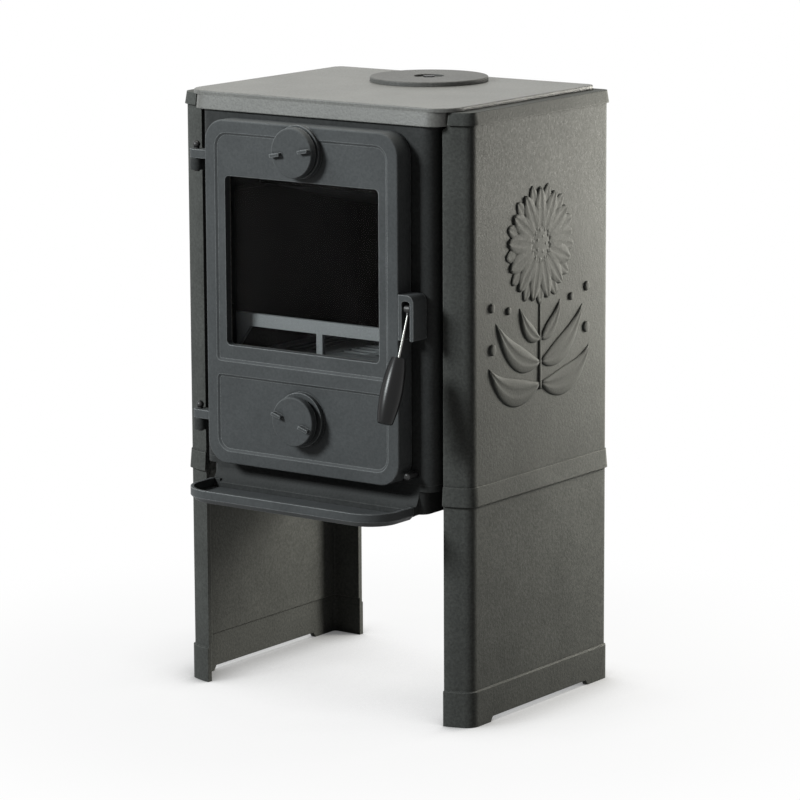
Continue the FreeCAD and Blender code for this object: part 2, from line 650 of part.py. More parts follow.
def ash_shelf_bolts():
    """Bolts up through the shelf's tongue into the hearth lip."""
    bolts = []
    for side in (-1, 1):
        x, y = side * SHELF_BOLT_X, shelf_bolt_y()
        shank = rod_z(BOLT_R, SHELF_BOTTOM, BASE_BOTTOM + SHELF_BOLT_BITE - BOLT_CLEARANCE, x, y)
        head = hexagon(BOLT_HEAD_R, "z", SHELF_BOTTOM - BOLT_HEAD_HEIGHT, SHELF_BOTTOM, x, y)
        bolts.append(shank.fuse(head).removeSplitter())
    return Part.makeCompound(bolts)


def top_plate():
    """Top plate: deep front edge, sides that lap the rims, thin over the fire, an outlet near the back."""
    seat = CASE_TOP + PLATE_SEAT_GAP
    corners = [PLATE_CORNER, PLATE_CORNER, PLATE_REAR_CORNER, PLATE_REAR_CORNER]
    wires = []
    for z, out in ((BODY_TOP, PLATE_DRAFT), (seat, 0.0)):
        points = rectangle(-PLATE_HALF_WIDTH, PLATE_HALF_WIDTH, -PLATE_FRONT - out, PLATE_REAR)
        wires.append(outline(points, corners, "z", z))
    lap_half = PLATE_HALF_WIDTH + PLATE_LAP
    lap_corner = PLATE_CORNER + PLATE_LAP
    plate = prism(rectangle(-lap_half, lap_half, -PLATE_FRONT, PLATE_REAR), "z", seat, PLATE_TOP,
                  [lap_corner, lap_corner, PLATE_REAR_CORNER, PLATE_REAR_CORNER])
    plate = round_edges(plate, PLATE_NOSE, lambda edge: lies_at(edge, "z", PLATE_TOP))
    plate = plate.fuse(loft(wires))
    cavity = box(-WALL_INNER_X, WALL_INNER_X, FRAME_INNER, BACK_INNER,
                 BODY_TOP - 1.0, PLATE_TOP - PLATE_SKIN)
    outlet = rod_z(OUTLET_R, BODY_TOP, PLATE_TOP + 1.0, 0.0, OUTLET_Y)
    return plate.cut(cavity).cut(outlet).removeSplitter()


def top_cover():
    """Round cover over the top outlet, with a dished middle and a locating spigot."""
    disc = rod_z(COVER_R, PLATE_TOP, PLATE_TOP + COVER_THICKNESS, 0.0, OUTLET_Y)
    disc = round_edges(disc, COVER_EDGE, lambda edge: lies_at(edge, "z", PLATE_TOP + COVER_THICKNESS))
    spigot_r = OUTLET_R - CASE_PLATE_GAP / 4.0
    spigot = rod_z(spigot_r, PLATE_TOP - PLATE_SKIN, PLATE_TOP, 0.0, OUTLET_Y)
    spigot = spigot.cut(rod_z(spigot_r - COVER_SPIGOT_WALL, BODY_TOP, PLATE_TOP, 0.0, OUTLET_Y))
    dish_floor = PLATE_TOP + COVER_THICKNESS - COVER_DISH_DEPTH
    dish = rod_z(COVER_DISH_R, dish_floor, dish_floor + 2 * COVER_THICKNESS, 0.0, OUTLET_Y)
    hole = rod_z(BOLT_HOLE_R, BODY_TOP, PLATE_TOP + COVER_THICKNESS, 0.0, OUTLET_Y)
    return disc.fuse(spigot).cut(dish).cut(hole)


def cover_clamp_bar():
    """Bar under the top plate that pulls the cover down."""
    reach = OUTLET_R + CLAMP_OVERLAP
    top = PLATE_TOP - PLATE_SKIN
    bar = prism(rectangle(-reach, reach, OUTLET_Y - CLAMP_WIDTH / 2, OUTLET_Y + CLAMP_WIDTH / 2), "z",
                top - CLAMP_THICKNESS, top, CLAMP_WIDTH / 4)
    return bar.cut(rod_z(BOLT_HOLE_R, BODY_TOP, PLATE_TOP, 0.0, OUTLET_Y))


def cover_bolt():
    """Low-headed bolt in the cover's dish, with its nut under the clamp bar."""
    dish_floor = PLATE_TOP + COVER_THICKNESS - COVER_DISH_DEPTH
    bar_bottom = PLATE_TOP - PLATE_SKIN - CLAMP_THICKNESS
    shank = rod_z(BOLT_R, bar_bottom - BOLT_HEAD_HEIGHT, dish_floor, 0.0, OUTLET_Y)
    head = rod_z(BOLT_HEAD_R, dish_floor, PLATE_TOP + COVER_THICKNESS, 0.0, OUTLET_Y)
    nut = hexagon(BOLT_HEAD_R, "z", bar_bottom - BOLT_HEAD_HEIGHT, bar_bottom, 0.0, OUTLET_Y)
    return shank.fuse(head).fuse(nut).removeSplitter()


def flue_collar():
    """Cast collar on the back outlet, for a pipe that slides over it."""
    flange = rod_y(FLUE_FLANGE_R, BODY_REAR, BODY_REAR + FLUE_FLANGE_THICKNESS, 0.0, FLUE_Z)
    collar = flange.fuse(rod_y(FLUE_OUTER_R, BODY_REAR, COLLAR_END, 0.0, FLUE_Z))
    collar = collar.cut(rod_y(FLUE_BORE_R, BODY_REAR - 1.0, COLLAR_END + 1.0, 0.0, FLUE_Z))
    for x, z in flue_bolt_places():
        hole_end = BODY_REAR + 2 * FLUE_FLANGE_THICKNESS
        collar = collar.cut(rod_y(BOLT_HOLE_R, BODY_REAR - 1.0, hole_end, x, z))
    return collar.removeSplitter()


def collar_bolts():
    """Bolts through the collar's flange and the back wall, with nuts inside."""
    bolts = []
    outer = BODY_REAR + FLUE_FLANGE_THICKNESS
    for x, z in flue_bolt_places():
        shank = rod_y(BOLT_R, BACK_INNER - BOLT_HEAD_HEIGHT, outer, x, z)
        head = hexagon(BOLT_HEAD_R, "y", outer, outer + BOLT_HEAD_HEIGHT, x, z)
        nut = hexagon(BOLT_HEAD_R, "y", BACK_INNER - BOLT_HEAD_HEIGHT, BACK_INNER, x, z)
        bolts.append(shank.fuse(head).fuse(nut).removeSplitter())
    return Part.makeCompound(bolts)


# Door
def door_plate(inset, y0, y1):
    """Door's rounded outline, inset and extruded."""
    half = DOOR_HALF_WIDTH - inset
    points = rectangle(-half, half, DOOR_BOTTOM + inset, DOOR_TOP - inset)
    return prism(points, "y", y0, y1, DOOR_CORNER - inset)


def panel_recess(z_low, z_high, low_corner, high_corner):
    """Shallow sunk panel with sloped walls, as the solid that is cut out of the door's face."""
    wires = []
    for share in (-1.0, 1.0):
        inset = share * PANEL_SLOPE
        half = DOOR_HALF_WIDTH - PANEL_INSET - inset
        points = rectangle(-half, half, z_low + inset, z_high - inset)
        low, high = low_corner - inset, high_corner - inset
        wires.append(outline(points, [low, low, high, high], "y", DOOR_FACE + share * PANEL_DEPTH))
    return loft(wires)


def air_slots(z):
    """Three curved air slots round a spinner's hub."""
    ring = rod_y(SLOT_OUTER_R, DOOR_FACE - 2 * SEAT_HEIGHT, SKIN_BACK + 1.0, 0.0, z)
    ring = ring.cut(rod_y(SLOT_INNER_R, DOOR_FACE - 2 * SEAT_HEIGHT, SKIN_BACK + 1.0, 0.0, z))
    spokes = []
    spoke = math.radians((120.0 - SLOT_ANGLE) / 2.0)
    for turn in (90.0, 210.0, 330.0):
        middle = math.radians(turn)
        reach = 2 * SLOT_OUTER_R
        sides = [(reach * math.cos(middle + a), z + reach * math.sin(middle + a)) for a in (-spoke, spoke)]
        points = [(0.0, z)] + sides
        spokes.append(prism(points, "y", DOOR_FACE - 3 * SEAT_HEIGHT, SKIN_BACK + 2.0))
    for piece in spokes:
        ring = ring.cut(piece)
    return ring


def door_lug(bottom, top):
    """Knuckle on the door's left edge, bored later for the hinge pin."""
    lug = rod_z(KNUCKLE_R, bottom, top, HINGE_X, HINGE_Y)
    reach = DOOR_EDGE - DOOR_HALF_WIDTH
    return lug.fuse(box(HINGE_X, reach, HINGE_Y - KNUCKLE_R, HINGE_Y + KNUCKLE_R, bottom, top))


def door():
    """Door casting: skin, rim with a rope channel, window, sunk panels, seats and lugs."""
    shell = door_plate(0.0, DOOR_FACE, DOOR_BACK)
    shell = round_edges(shell, DOOR_EDGE, lambda edge: lies_at(edge, "y", DOOR_FACE))
    hollow = door_plate(DOOR_RIM, SKIN_BACK, DOOR_BACK + 1.0)
    pad_half = WINDOW_HALF_WIDTH + WINDOW_FRAME
    pad = prism(rectangle(-pad_half, pad_half, WINDOW_BOTTOM - WINDOW_FRAME, WINDOW_TOP + WINDOW_FRAME), "y",
                SKIN_BACK, REVEAL_BACK)
    shell = shell.cut(hollow.cut(pad))
    window = prism(rectangle(-WINDOW_HALF_WIDTH, WINDOW_HALF_WIDTH, WINDOW_BOTTOM, WINDOW_TOP), "y",
                   DOOR_FACE - 1.0, REVEAL_BACK + 1.0, WINDOW_CORNER)
    shell = shell.cut(window)
    high, low = DOOR_TOP - PANEL_INSET, DOOR_BOTTOM + PANEL_INSET
    shell = shell.cut(panel_recess(PANEL_SPLIT_HIGH, high, PANEL_SMALL_CORNER, PANEL_CORNER))
    shell = shell.cut(panel_recess(low, PANEL_SPLIT_LOW, PANEL_CORNER, PANEL_SMALL_CORNER))
    channel_half = ROPE_R + ROPE_SLACK
    channel_floor = ROPE_Y - ROPE_R
    channel = door_plate(ROPE_INSET - channel_half, channel_floor, DOOR_BACK + 1.0)
    core = door_plate(ROPE_INSET + channel_half, channel_floor - 1.0, DOOR_BACK + 2.0)
    shell = shell.cut(channel.cut(core))
    for z, seat_r in ((UPPER_SPINNER_Z, UPPER_SEAT_R), (LOWER_SPINNER_Z, LOWER_SEAT_R)):
        seat = rod_y(seat_r, DOOR_FACE - SEAT_HEIGHT, DOOR_FACE + PANEL_DEPTH, 0.0, z)
        dish = rod_y(seat_r - SEAT_WALL, DOOR_FACE - SEAT_HEIGHT - 1.0, DOOR_FACE, 0.0, z)
        shell = shell.fuse(seat.cut(dish)).cut(air_slots(z))
        shell = shell.cut(rod_y(SPINDLE_R + HUB_FIT, DOOR_FACE - SEAT_HEIGHT, SKIN_BACK + 1.0, 0.0, z))
    for bottom in (UPPER_LUG_BOTTOM, LOWER_LUG_BOTTOM):
        top = bottom + KNUCKLE_HEIGHT
        shell = shell.fuse(door_lug(bottom, top))
        shell = shell.cut(rod_z(HINGE_PIN_R + HINGE_FIT, bottom - 1.0, top + 1.0, HINGE_X, HINGE_Y))
    for x, z in clip_places():
        shell = shell.fuse(rod_y(CLIP_BOSS_R, SKIN_BACK - 1.0, GLASS_BACK, x, z))
        shell = shell.cut(rod_y(CLIP_SCREW_R, REVEAL_BACK, GLASS_BACK + 1.0, x, z))
    return shell.removeSplitter()


def clip_places():
    """Centres of the glass clips' screws, as (x, z)."""
    heights = (WINDOW_BOTTOM + CLIP_INSET, WINDOW_TOP - CLIP_INSET)
    return [(side * CLIP_X, z) for side in (-1, 1) for z in heights]


def glass_outline(inset, y0, y1):
    """Pane's outline, inset and extruded."""
    half = GLASS_HALF_WIDTH - inset
    low, high = WINDOW_BOTTOM - GLASS_LAP + inset, WINDOW_TOP + GLASS_LAP - inset
    return prism(rectangle(-half, half, low, high), "y", y0, y1)


def door_glass():
    """Heat-proof pane behind the window."""
    return glass_outline(0.0, GLASS_FRONT, GLASS_BACK)


def glass_gasket():
    """Flat woven tape between the pane and the door."""
    tape = glass_outline(0.0, REVEAL_BACK, GLASS_FRONT)
    return tape.cut(glass_outline(GLASS_LAP, REVEAL_BACK - 1.0, GLASS_FRONT + 1.0))


def glass_clips():
    """Four sheet steel clips that hold the pane."""
    clips = []
    for x, z in clip_places():
        side = math.copysign(1.0, x)
        inner, outer = GLASS_HALF_WIDTH - CLIP_BITE, CLIP_X + CLIP_BOSS_R - CLIP_BITE / 4
        low, high = sorted((side * inner, side * outer))
        clip = box(low, high, GLASS_BACK, GLASS_BACK + CLIP_THICKNESS,
                   z - CLIP_WIDTH / 2, z + CLIP_WIDTH / 2)
        clips.append(clip.cut(rod_y(CLIP_SCREW_R, GLASS_BACK - 1.0, GLASS_BACK + 2 * CLIP_THICKNESS, x, z)))
    return Part.makeCompound(clips)


def glass_screws():
    """Pan-headed screws of the glass clips."""
    screws = []
    for x, z in clip_places():
        head_y = GLASS_BACK + CLIP_THICKNESS
        shank = rod_y(CLIP_SCREW_R - HINGE_SEAT_FIT, REVEAL_BACK + 0.5, head_y, x, z)
        head = rod_y(1.8 * CLIP_SCREW_R, head_y, head_y + CLIP_SCREW_R, x, z)
        screws.append(shank.fuse(head).removeSplitter())
    return Part.makeCompound(screws)


def door_rope_seal():
    """Glass rope in the door's rim channel, as two half rings that meet at top and bottom."""
    side_x, low, high = DOOR_HALF_WIDTH - ROPE_INSET, DOOR_BOTTOM + ROPE_INSET, DOOR_TOP - ROPE_INSET
    section = Part.Wire(Part.makeCircle(ROPE_R, Vector(0, ROPE_Y, low), Vector(1, 0, 0)))
    halves = []
    for x in (side_x, -side_x):
        run = open_run([(0.0, low), (x, low), (x, high), (0.0, high)], DOOR_CORNER - ROPE_INSET)
        halves.append(Part.Wire(run).makePipeShell([section], True, False))
    return halves[0].fuse(halves[1]).removeSplitter()


def open_run(points, radius):
    """Edges of an open run in the rope's plane, with its two inner corners rounded."""
    flat = [Vector(u, ROPE_Y, v) for u, v in points]
    edges, last = [], flat[0]
    for before, corner, after in zip(flat, flat[1:], flat[2:]):
        back, ahead = (before - corner).normalize(), (after - corner).normalize()
        first, final = corner + back * radius, corner + ahead * radius
        middle = corner + (back + ahead).normalize() * (radius * (math.sqrt(2.0) - 1.0))
        edges.append(Part.LineSegment(last, first).toShape())
        edges.append(Part.Arc(first, middle, final).toShape())
        last = final
    edges.append(Part.LineSegment(last, flat[-1]).toShape())
    return edges


# Air spinners
def spinner_back(gap):
    """Rear plane of a spinner's disc, where it stands off its seat by the stated gap."""
    return DOOR_FACE - SEAT_HEIGHT - gap


def air_spinner(z, gap, turn):
    """Disc with two finger fins across its face and a blind bore for its spindle."""
    back = spinner_back(gap)
    front = back - SPINNER_THICKNESS
    disc = rod_y(SPINNER_R, front, back, 0.0, z)
    disc = round_edges(disc, SPINNER_EDGE, lambda edge: lies_at(edge, "y", front))
    fins = []
    for side in (-1, 1):
        low, high = sorted((side * SPINNER_FIN_INNER, side * (SPINNER_R - SPINNER_EDGE)))
        fin = prism(rectangle(low, high, z - SPINNER_FIN_THICKNESS / 2, z + SPINNER_FIN_THICKNESS / 2), "y",
                    front - SPINNER_FIN_HEIGHT, front + SPINNER_EDGE, SPINNER_FIN_THICKNESS / 4)
        fin.rotate(Vector(0, 0, z), Vector(0, -1, 0), turn)
        fins.append(fin)
    disc = disc.fuse(fins[0]).fuse(fins[1])
    bore = rod_y(SPINDLE_R + SPINDLE_FIT, back - SPINNER_BORE_DEPTH, back + 1.0, 0.0, z)
    return disc.cut(bore).removeSplitter()


def spinner_spindle(z, gap, travel_out):
    """Spindle through the door's hub, with a locknut that stops the disc from coming off."""
    front = spinner_back(gap) - SPINNER_BORE_DEPTH + SPINDLE_FIT
    nut_front = SKIN_BACK + travel_out + LOCKNUT_CLEARANCE
    nut_back = nut_front + LOCKNUT_THICKNESS
    spindle = rod_y(SPINDLE_R, front, nut_back, 0.0, z)
    return spindle.fuse(hexagon(LOCKNUT_R, "y", nut_front, nut_back, 0.0, z)).removeSplitter()


# Hinges
def hinge_bracket(lug_bottom):
    """Frame half of a hinge: a pad screwed to the frame and a knuckle under the door's lug."""
    top = lug_bottom - KNUCKLE_GAP
    bottom = top - BRACKET_HEIGHT
    knuckle = rod_z(KNUCKLE_R, bottom, top, HINGE_X, HINGE_Y)
    pad_front = FRAME_FRONT - PAD_THICKNESS
    arm = prism([(HINGE_X - KNUCKLE_R, HINGE_Y), (HINGE_X + KNUCKLE_R, HINGE_Y), (-PAD_INNER, pad_front),
                 (-PAD_INNER, FRAME_FRONT), (-PAD_OUTER, FRAME_FRONT)], "z", bottom, top)
    pad = prism(rectangle(-PAD_OUTER, -PAD_INNER, bottom - PAD_REACH, top + PAD_REACH), "y",
                pad_front, FRAME_FRONT, PAD_THICKNESS)
    bracket = knuckle.fuse(arm).fuse(pad)
    bore = rod_z(HINGE_PIN_R + HINGE_SEAT_FIT, bottom - 1.0, top + 1.0, HINGE_X, HINGE_Y)
    return bracket.cut(bore).removeSplitter()


def hinge_pin(lug_bottom):
    """Ball-headed hinge pin through the door's lug and the bracket."""
    bottom = lug_bottom - KNUCKLE_GAP - BRACKET_HEIGHT - PIN_TAIL
    lug_top = lug_bottom + KNUCKLE_HEIGHT
    pin = rod_z(HINGE_PIN_R, bottom, lug_top + PIN_BALL_R + KNUCKLE_GAP, HINGE_X, HINGE_Y)
    ball = Part.makeSphere(PIN_BALL_R, Vector(HINGE_X, HINGE_Y, lug_top + PIN_BALL_R + KNUCKLE_GAP))
    return pin.fuse(ball).removeSplitter()


def hinge_screws():
    """Screws of both hinge pads."""
    screws = []
    x = -(PAD_INNER + PAD_OUTER) / 2.0
    pad_front = FRAME_FRONT - PAD_THICKNESS
    for lug_bottom in (UPPER_LUG_BOTTOM, LOWER_LUG_BOTTOM):
        top = lug_bottom - KNUCKLE_GAP
        for z in (top - BRACKET_HEIGHT - PAD_REACH / 2.0, top + PAD_REACH / 2.0):
            head = rod_y(HINGE_SCREW_HEAD_R, pad_front - HINGE_SCREW_HEAD, pad_front, x, z)
            screws.append(round_edges(head, HINGE_SCREW_HEAD / 2,
                                      lambda edge: lies_at(edge, "y", pad_front - HINGE_SCREW_HEAD)))
    return Part.makeCompound(screws)


# Handle and latch
def handle_hood():
    """Hood on the door's right edge: two cheeks under a rounded roof, open in front and below."""
    roof = prism(rectangle(HOOD_LEFT, HOOD_RIGHT, HOOD_BOTTOM, HOOD_TOP), "y", DOOR_FACE, DOOR_BACK,
                 [0.0, HOOD_WALL / 2.5, HOOD_CORNER, 0.0])
    slot_corner = HOOD_CORNER - HOOD_WALL
    slot_box = rectangle(HOOD_LEFT + HOOD_WALL, HOOD_RIGHT - HOOD_WALL,
                         HOOD_BOTTOM - 1.0, HOOD_TOP - HOOD_ROOF)
    slot = prism(slot_box, "y", DOOR_FACE - 1.0, DOOR_BACK + 1.0, [0.0, 0.0, slot_corner, slot_corner])
    hood = roof.cut(slot)
    seat_end = HOOD_RIGHT - HOOD_WALL / 2
    return hood.cut(rod_x(HANDLE_PIN_R + HANDLE_SEAT_FIT, HOOD_LEFT - 1.0, seat_end, HANDLE_Y, HANDLE_Z))


def handle_pin():
    """Pivot pin across the hood."""
    return rod_x(HANDLE_PIN_R, HOOD_LEFT, HOOD_RIGHT - HOOD_WALL / 2, HANDLE_Y, HANDLE_Z)


def handle_point(distance):
    """Point on the hanging rod's middle line, at a distance from the pivot."""
    lean = math.radians(LEVER_LEAN)
    return Vector(HANDLE_X, HANDLE_Y - distance * math.sin(lean), HANDLE_Z - distance * math.cos(lean))


def handle_lever():
    """Lever cam: hub on the pin, socket for the rod and the latch nose behind."""
    half = LEVER_WIDTH / 2.0
    hub = rod_x(LEVER_HUB_R, HANDLE_X - half, HANDLE_X + half, HANDLE_Y, HANDLE_Z)
    socket = rod(1.6 * ROD_R, handle_point(0.0), handle_point(rod_start()))
    low, high, tip = HANDLE_Z - NOSE_THICKNESS / 2, HANDLE_Z + NOSE_THICKNESS / 2, NOSE_THICKNESS / 2.2
    nose = prism(rectangle(HANDLE_Y, HANDLE_Y + NOSE_REACH, low, high), "x",
                 HANDLE_X - half, HANDLE_X + half, [0.0, tip, tip, 0.0])
    nose.rotate(Vector(HANDLE_X, HANDLE_Y, HANDLE_Z), Vector(1, 0, 0), -NOSE_ANGLE)
    bore_r = HANDLE_PIN_R + HANDLE_FIT
    bore = rod_x(bore_r, HANDLE_X - LEVER_WIDTH, HANDLE_X + LEVER_WIDTH, HANDLE_Y, HANDLE_Z)
    return hub.fuse(nose).fuse(socket).cut(bore).removeSplitter()


def rod_start():
    """Distance from the pivot to the rod's upper end, on the cam's socket."""
    return LEVER_HUB_R + 1.5 * ROD_R


def handle_rod():
    """Bright rod from the cam's socket into the grip."""
    return rod(ROD_R, handle_point(rod_start()), handle_point(ROD_LENGTH + GRIP_LENGTH / 2))


def handle_grip():
    """Barrel grip turned from one piece, on the end of the rod."""
    top, bottom = 0.0, -GRIP_LENGTH
    widest = bottom * 0.42
    neck, end = Vector(GRIP_NECK_R, 0, top), Vector(GRIP_END_R, 0, bottom)
    run = [end, Vector(0, 0, bottom), Vector(0, 0, top), neck]
    edges = [Part.Arc(neck, Vector(GRIP_MAX_R, 0, widest), end).toShape()]
    edges += [Part.LineSegment(a, b).toShape() for a, b in zip(run, run[1:])]
    barrel = Part.Face(Part.Wire(edges)).revolve(Vector(0, 0, 0), Vector(0, 0, 1), 360.0)
    barrel = barrel.cut(rod_z(ROD_R + GRIP_FIT, -GRIP_LENGTH / 2 - GRIP_FIT, 1.0, 0.0, 0.0))
    barrel = round_edges(barrel, GRIP_END_R / 4, lambda edge: lies_at(edge, "z", bottom))
    barrel.rotate(Vector(0, 0, 0), Vector(1, 0, 0), -LEVER_LEAN)
    barrel.translate(handle_point(ROD_LENGTH))
    return barrel


def keeper_underside():
    """Height of the keeper's flat underside, just above the resting latch nose at its front edge."""
    angle = math.radians(NOSE_ANGLE)
    half = NOSE_THICKNESS / 2.0
    run = (FRAME_FRONT - KEEPER_REACH - HANDLE_Y - half * math.sin(angle)) / math.cos(angle)
    return HANDLE_Z - run * math.sin(angle) + half * math.cos(angle) + KEEPER_GAP


def latch_keeper():
    """Keeper on the frame, inside the hood and above the latch nose."""
    low = keeper_underside()
    half = KEEPER_WIDTH / 2.0
    block = rectangle(FRAME_FRONT - KEEPER_REACH, FRAME_FRONT, low, low + KEEPER_HEIGHT)
    corners = [KEEPER_WIDTH / 4, 0.0, 0.0, KEEPER_WIDTH / 2]
    return prism(block, "x", HANDLE_X - half, HANDLE_X + half, corners)


# Fire lining
def baffle_z(y):
    """Underside of the baffle at a depth: it rises from the back brick to the front."""
    run = BACK_INNER - BAFFLE_FRONT
    return BACK_BRICK_TOP + BAFFLE_RISE * (BACK_INNER - y) / run


def side_brick():
    """Right fire brick, cut to the baffle's slope on top."""
    points = [(BRICK_FRONT, GRATE_TOP), (BACK_INNER, GRATE_TOP), (BACK_INNER, baffle_z(BACK_INNER)),
              (BAFFLE_FRONT, baffle_z(BAFFLE_FRONT)), (BRICK_FRONT, baffle_z(BAFFLE_FRONT))]
    return prism(points, "x", WALL_INNER_X - BRICK, WALL_INNER_X)


def back_brick():
    """Back fire brick between the side bricks."""
    half = WALL_INNER_X - BRICK
    points = [(BACK_INNER - BRICK, GRATE_TOP), (BACK_INNER, GRATE_TOP), (BACK_INNER, baffle_z(BACK_INNER)),
              (BACK_INNER - BRICK, baffle_z(BACK_INNER - BRICK))]
    return prism(points, "x", -half, half)


def baffle_plate():
    """Sloping plate over the fire that rests on the bricks."""
    points = [(BAFFLE_FRONT, baffle_z(BAFFLE_FRONT)), (BACK_INNER, baffle_z(BACK_INNER)),
              (BACK_INNER, baffle_z(BACK_INNER) + BAFFLE_THICKNESS),
              (BAFFLE_FRONT, baffle_z(BAFFLE_FRONT) + BAFFLE_THICKNESS)]
    half = WALL_INNER_X - BAFFLE_SIDE_GAP
    return prism(points, "x", -half, half)


def bottom_grate():
    """Fixed bottom plate round the riddling grate, with air slots beside it."""
    plate = box(-WALL_INNER_X, WALL_INNER_X, FRAME_BACK, BACK_INNER, GRATE_BOTTOM, GRATE_TOP)
    front = box(-TONGUE_HALF_WIDTH, TONGUE_HALF_WIDTH, FRAME_FRONT, FRAME_BACK, GRATE_BOTTOM, GRATE_TOP)
    plate = plate.fuse(front)
    lip_half = GRATE_HOLE_HALF_WIDTH - GRATE_LIP
    plate = plate.cut(box(-lip_half, lip_half, GRATE_HOLE_FRONT - RIDDLE_TRAVEL, GRATE_HOLE_REAR,
                          GRATE_BOTTOM - 1.0, GRATE_TOP + 1.0))
    plate = plate.cut(box(-GRATE_HOLE_HALF_WIDTH, GRATE_HOLE_HALF_WIDTH, GRATE_HOLE_FRONT - RIDDLE_TRAVEL,
                          GRATE_HOLE_REAR, GRATE_BOTTOM + GRATE_LIP_HEIGHT, GRATE_TOP + 1.0))
    for side in (-1, 1):
        for i in range(SIDE_SLOTS):
            x = side * (GRATE_HOLE_HALF_WIDTH + (i + 1) * (SLAT_GAP + SLAT_BAR) + SLAT_BAR)
            slot = rectangle(x - SLAT_GAP / 2, x + SLAT_GAP / 2, GRATE_HOLE_FRONT, GRATE_HOLE_REAR)
            plate = plate.cut(prism(slot, "z", GRATE_BOTTOM - 1.0, GRATE_TOP + 1.0, SLAT_GAP / 2.5))
    return plate.removeSplitter()


def riddling_grate():
    """Slatted grate that slides in the bottom plate."""
    half = GRATE_HOLE_HALF_WIDTH - GRATE_FIT
    inner = GRATE_HOLE_HALF_WIDTH - GRATE_LIP - GRATE_FIT
    front, rear = GRATE_HOLE_FRONT + GRATE_FIT, GRATE_HOLE_REAR - GRATE_FIT
    ledge = GRATE_BOTTOM + GRATE_LIP_HEIGHT + GRATE_FIT
    grate = box(-half, half, front, rear, ledge, GRATE_TOP)
    grate = grate.fuse(box(-inner, inner, front, rear, GRATE_BOTTOM, ledge))
    pitch = SLAT_GAP + SLAT_BAR
    run = rear - front - 2 * SLAT_BAR
    count = int((run + SLAT_BAR) // pitch)
    start = front + SLAT_BAR + (run + SLAT_BAR - count * pitch) / 2.0
    for i in range(count):
        y = start + i * pitch
        for side in (-1, 1):
            low, high = sorted((side * SLAT_BAR, side * (inner - SLAT_BAR)))
            grate = grate.cut(box(low, high, y, y + SLAT_GAP, GRATE_BOTTOM - 1.0, GRATE_TOP + 1.0))
    return grate.removeSplitter()


def riddling_rod():
    """Pull rod beside the ash pan, with an upright arm and a cross bar that carries the grate."""
    half = ARM_WIDTH / 2.0
    arm_y = (GRATE_HOLE_FRONT + GRATE_HOLE_REAR) / 2.0
    knob = rod_y(RIDDLE_KNOB_R, -RIDDLE_FRONT, RIDDLE_KNOB_LENGTH - RIDDLE_FRONT, ROD_X, ROD_Z)
    knob = round_edges(knob, RIDDLE_KNOB_R / 1.6, lambda edge: lies_at(edge, "y", -RIDDLE_FRONT))
    bar = rod_y(RIDDLE_ROD_R, RIDDLE_KNOB_LENGTH - RIDDLE_FRONT - 1.0, arm_y + half, ROD_X, ROD_Z)
    bar_top = GRATE_BOTTOM - ARM_WIDTH / 2.0
    arm = box(ROD_X - half, ROD_X + half, arm_y - half, arm_y + half, ROD_Z - RIDDLE_ROD_R, bar_top)
    cross = box(0.0, ROD_X + half, arm_y - half, arm_y + half, bar_top - ARM_WIDTH, bar_top)
    post = box(-half, half, arm_y - half, arm_y + half, bar_top - ARM_WIDTH, GRATE_BOTTOM)
    return knob.fuse(bar).fuse(arm).fuse(cross).fuse(post).removeSplitter()


def log_retainer():
    """Low cast bar across the front of the fire, with a middle rib and two slanted openings."""
    y0 = FRAME_INNER + RETAINER_FRAME_GAP
    bar = prism(rectangle(-RETAINER_HALF_WIDTH, RETAINER_HALF_WIDTH, GRATE_TOP, RETAINER_TOP), "y",
                y0, y0 + RETAINER_THICKNESS, [0.0, 0.0, RETAINER_BAR / 3, RETAINER_BAR / 3])
    low, high = GRATE_TOP + RETAINER_BAR, RETAINER_TOP - RETAINER_BAR
    inner, outer = RETAINER_RIB / 2.0, RETAINER_HALF_WIDTH - RETAINER_BAR
    for side in (-1, 1):
        slant = side * (outer - RETAINER_SLANT)
        points = [(side * inner, low), (side * outer, low), (slant, high), (side * inner, high)]
        bar = bar.cut(prism(points, "y", y0 - 1.0, y0 + RETAINER_THICKNESS + 1.0))
    return bar


def ash_pan():
    """Sheet steel ash pan with flared sides, on the base casting's runners."""
    rear = BACK_INNER - PAN_REAR_GAP
    wires = {}
    for name, inset in (("outer", 0.0), ("inner", PAN_WALL)):
        low = rectangle(PAN_FLARE + inset - PAN_HALF_WIDTH, PAN_HALF_WIDTH - PAN_FLARE - inset,
                        PAN_FRONT + PAN_FLARE + inset, rear - PAN_FLARE - inset)
        high = rectangle(inset - PAN_HALF_WIDTH, PAN_HALF_WIDTH - inset, PAN_FRONT + inset, rear - inset)
        floor = PAN_BOTTOM + inset
        wires[name] = [outline(low, 0.0, "z", floor), outline(high, 0.0, "z", PAN_BOTTOM + PAN_HEIGHT)]
    pan = loft(wires["outer"]).cut(loft(wires["inner"]))
    grip_z = PAN_BOTTOM + PAN_HEIGHT / 2.0
    half = PAN_HEIGHT / 2.0
    grip = prism(rectangle(-half, half, PAN_FRONT - PAN_FLARE, PAN_FRONT + PAN_FLARE), "z",
                 grip_z - PAN_WALL, grip_z + PAN_WALL)
    inside = loft(wires["inner"])
    return pan.fuse(grip.cut(inside)).removeSplitter()


def save(name, shape):
    """Write one piece, moved so that the origin is under the middle of the stove."""
    placed = shape.copy()
    placed.translate(Vector(0, -MIDDLE_Y, 0))
    placed.exportStep(f"parts/{name}.step")
    state = "ok" if placed.isValid() else "NOT VALID"
    print(f"{name}: {len(placed.Solids)} solid(s), {placed.Volume / 1000.0:.1f} cm3, {state}")


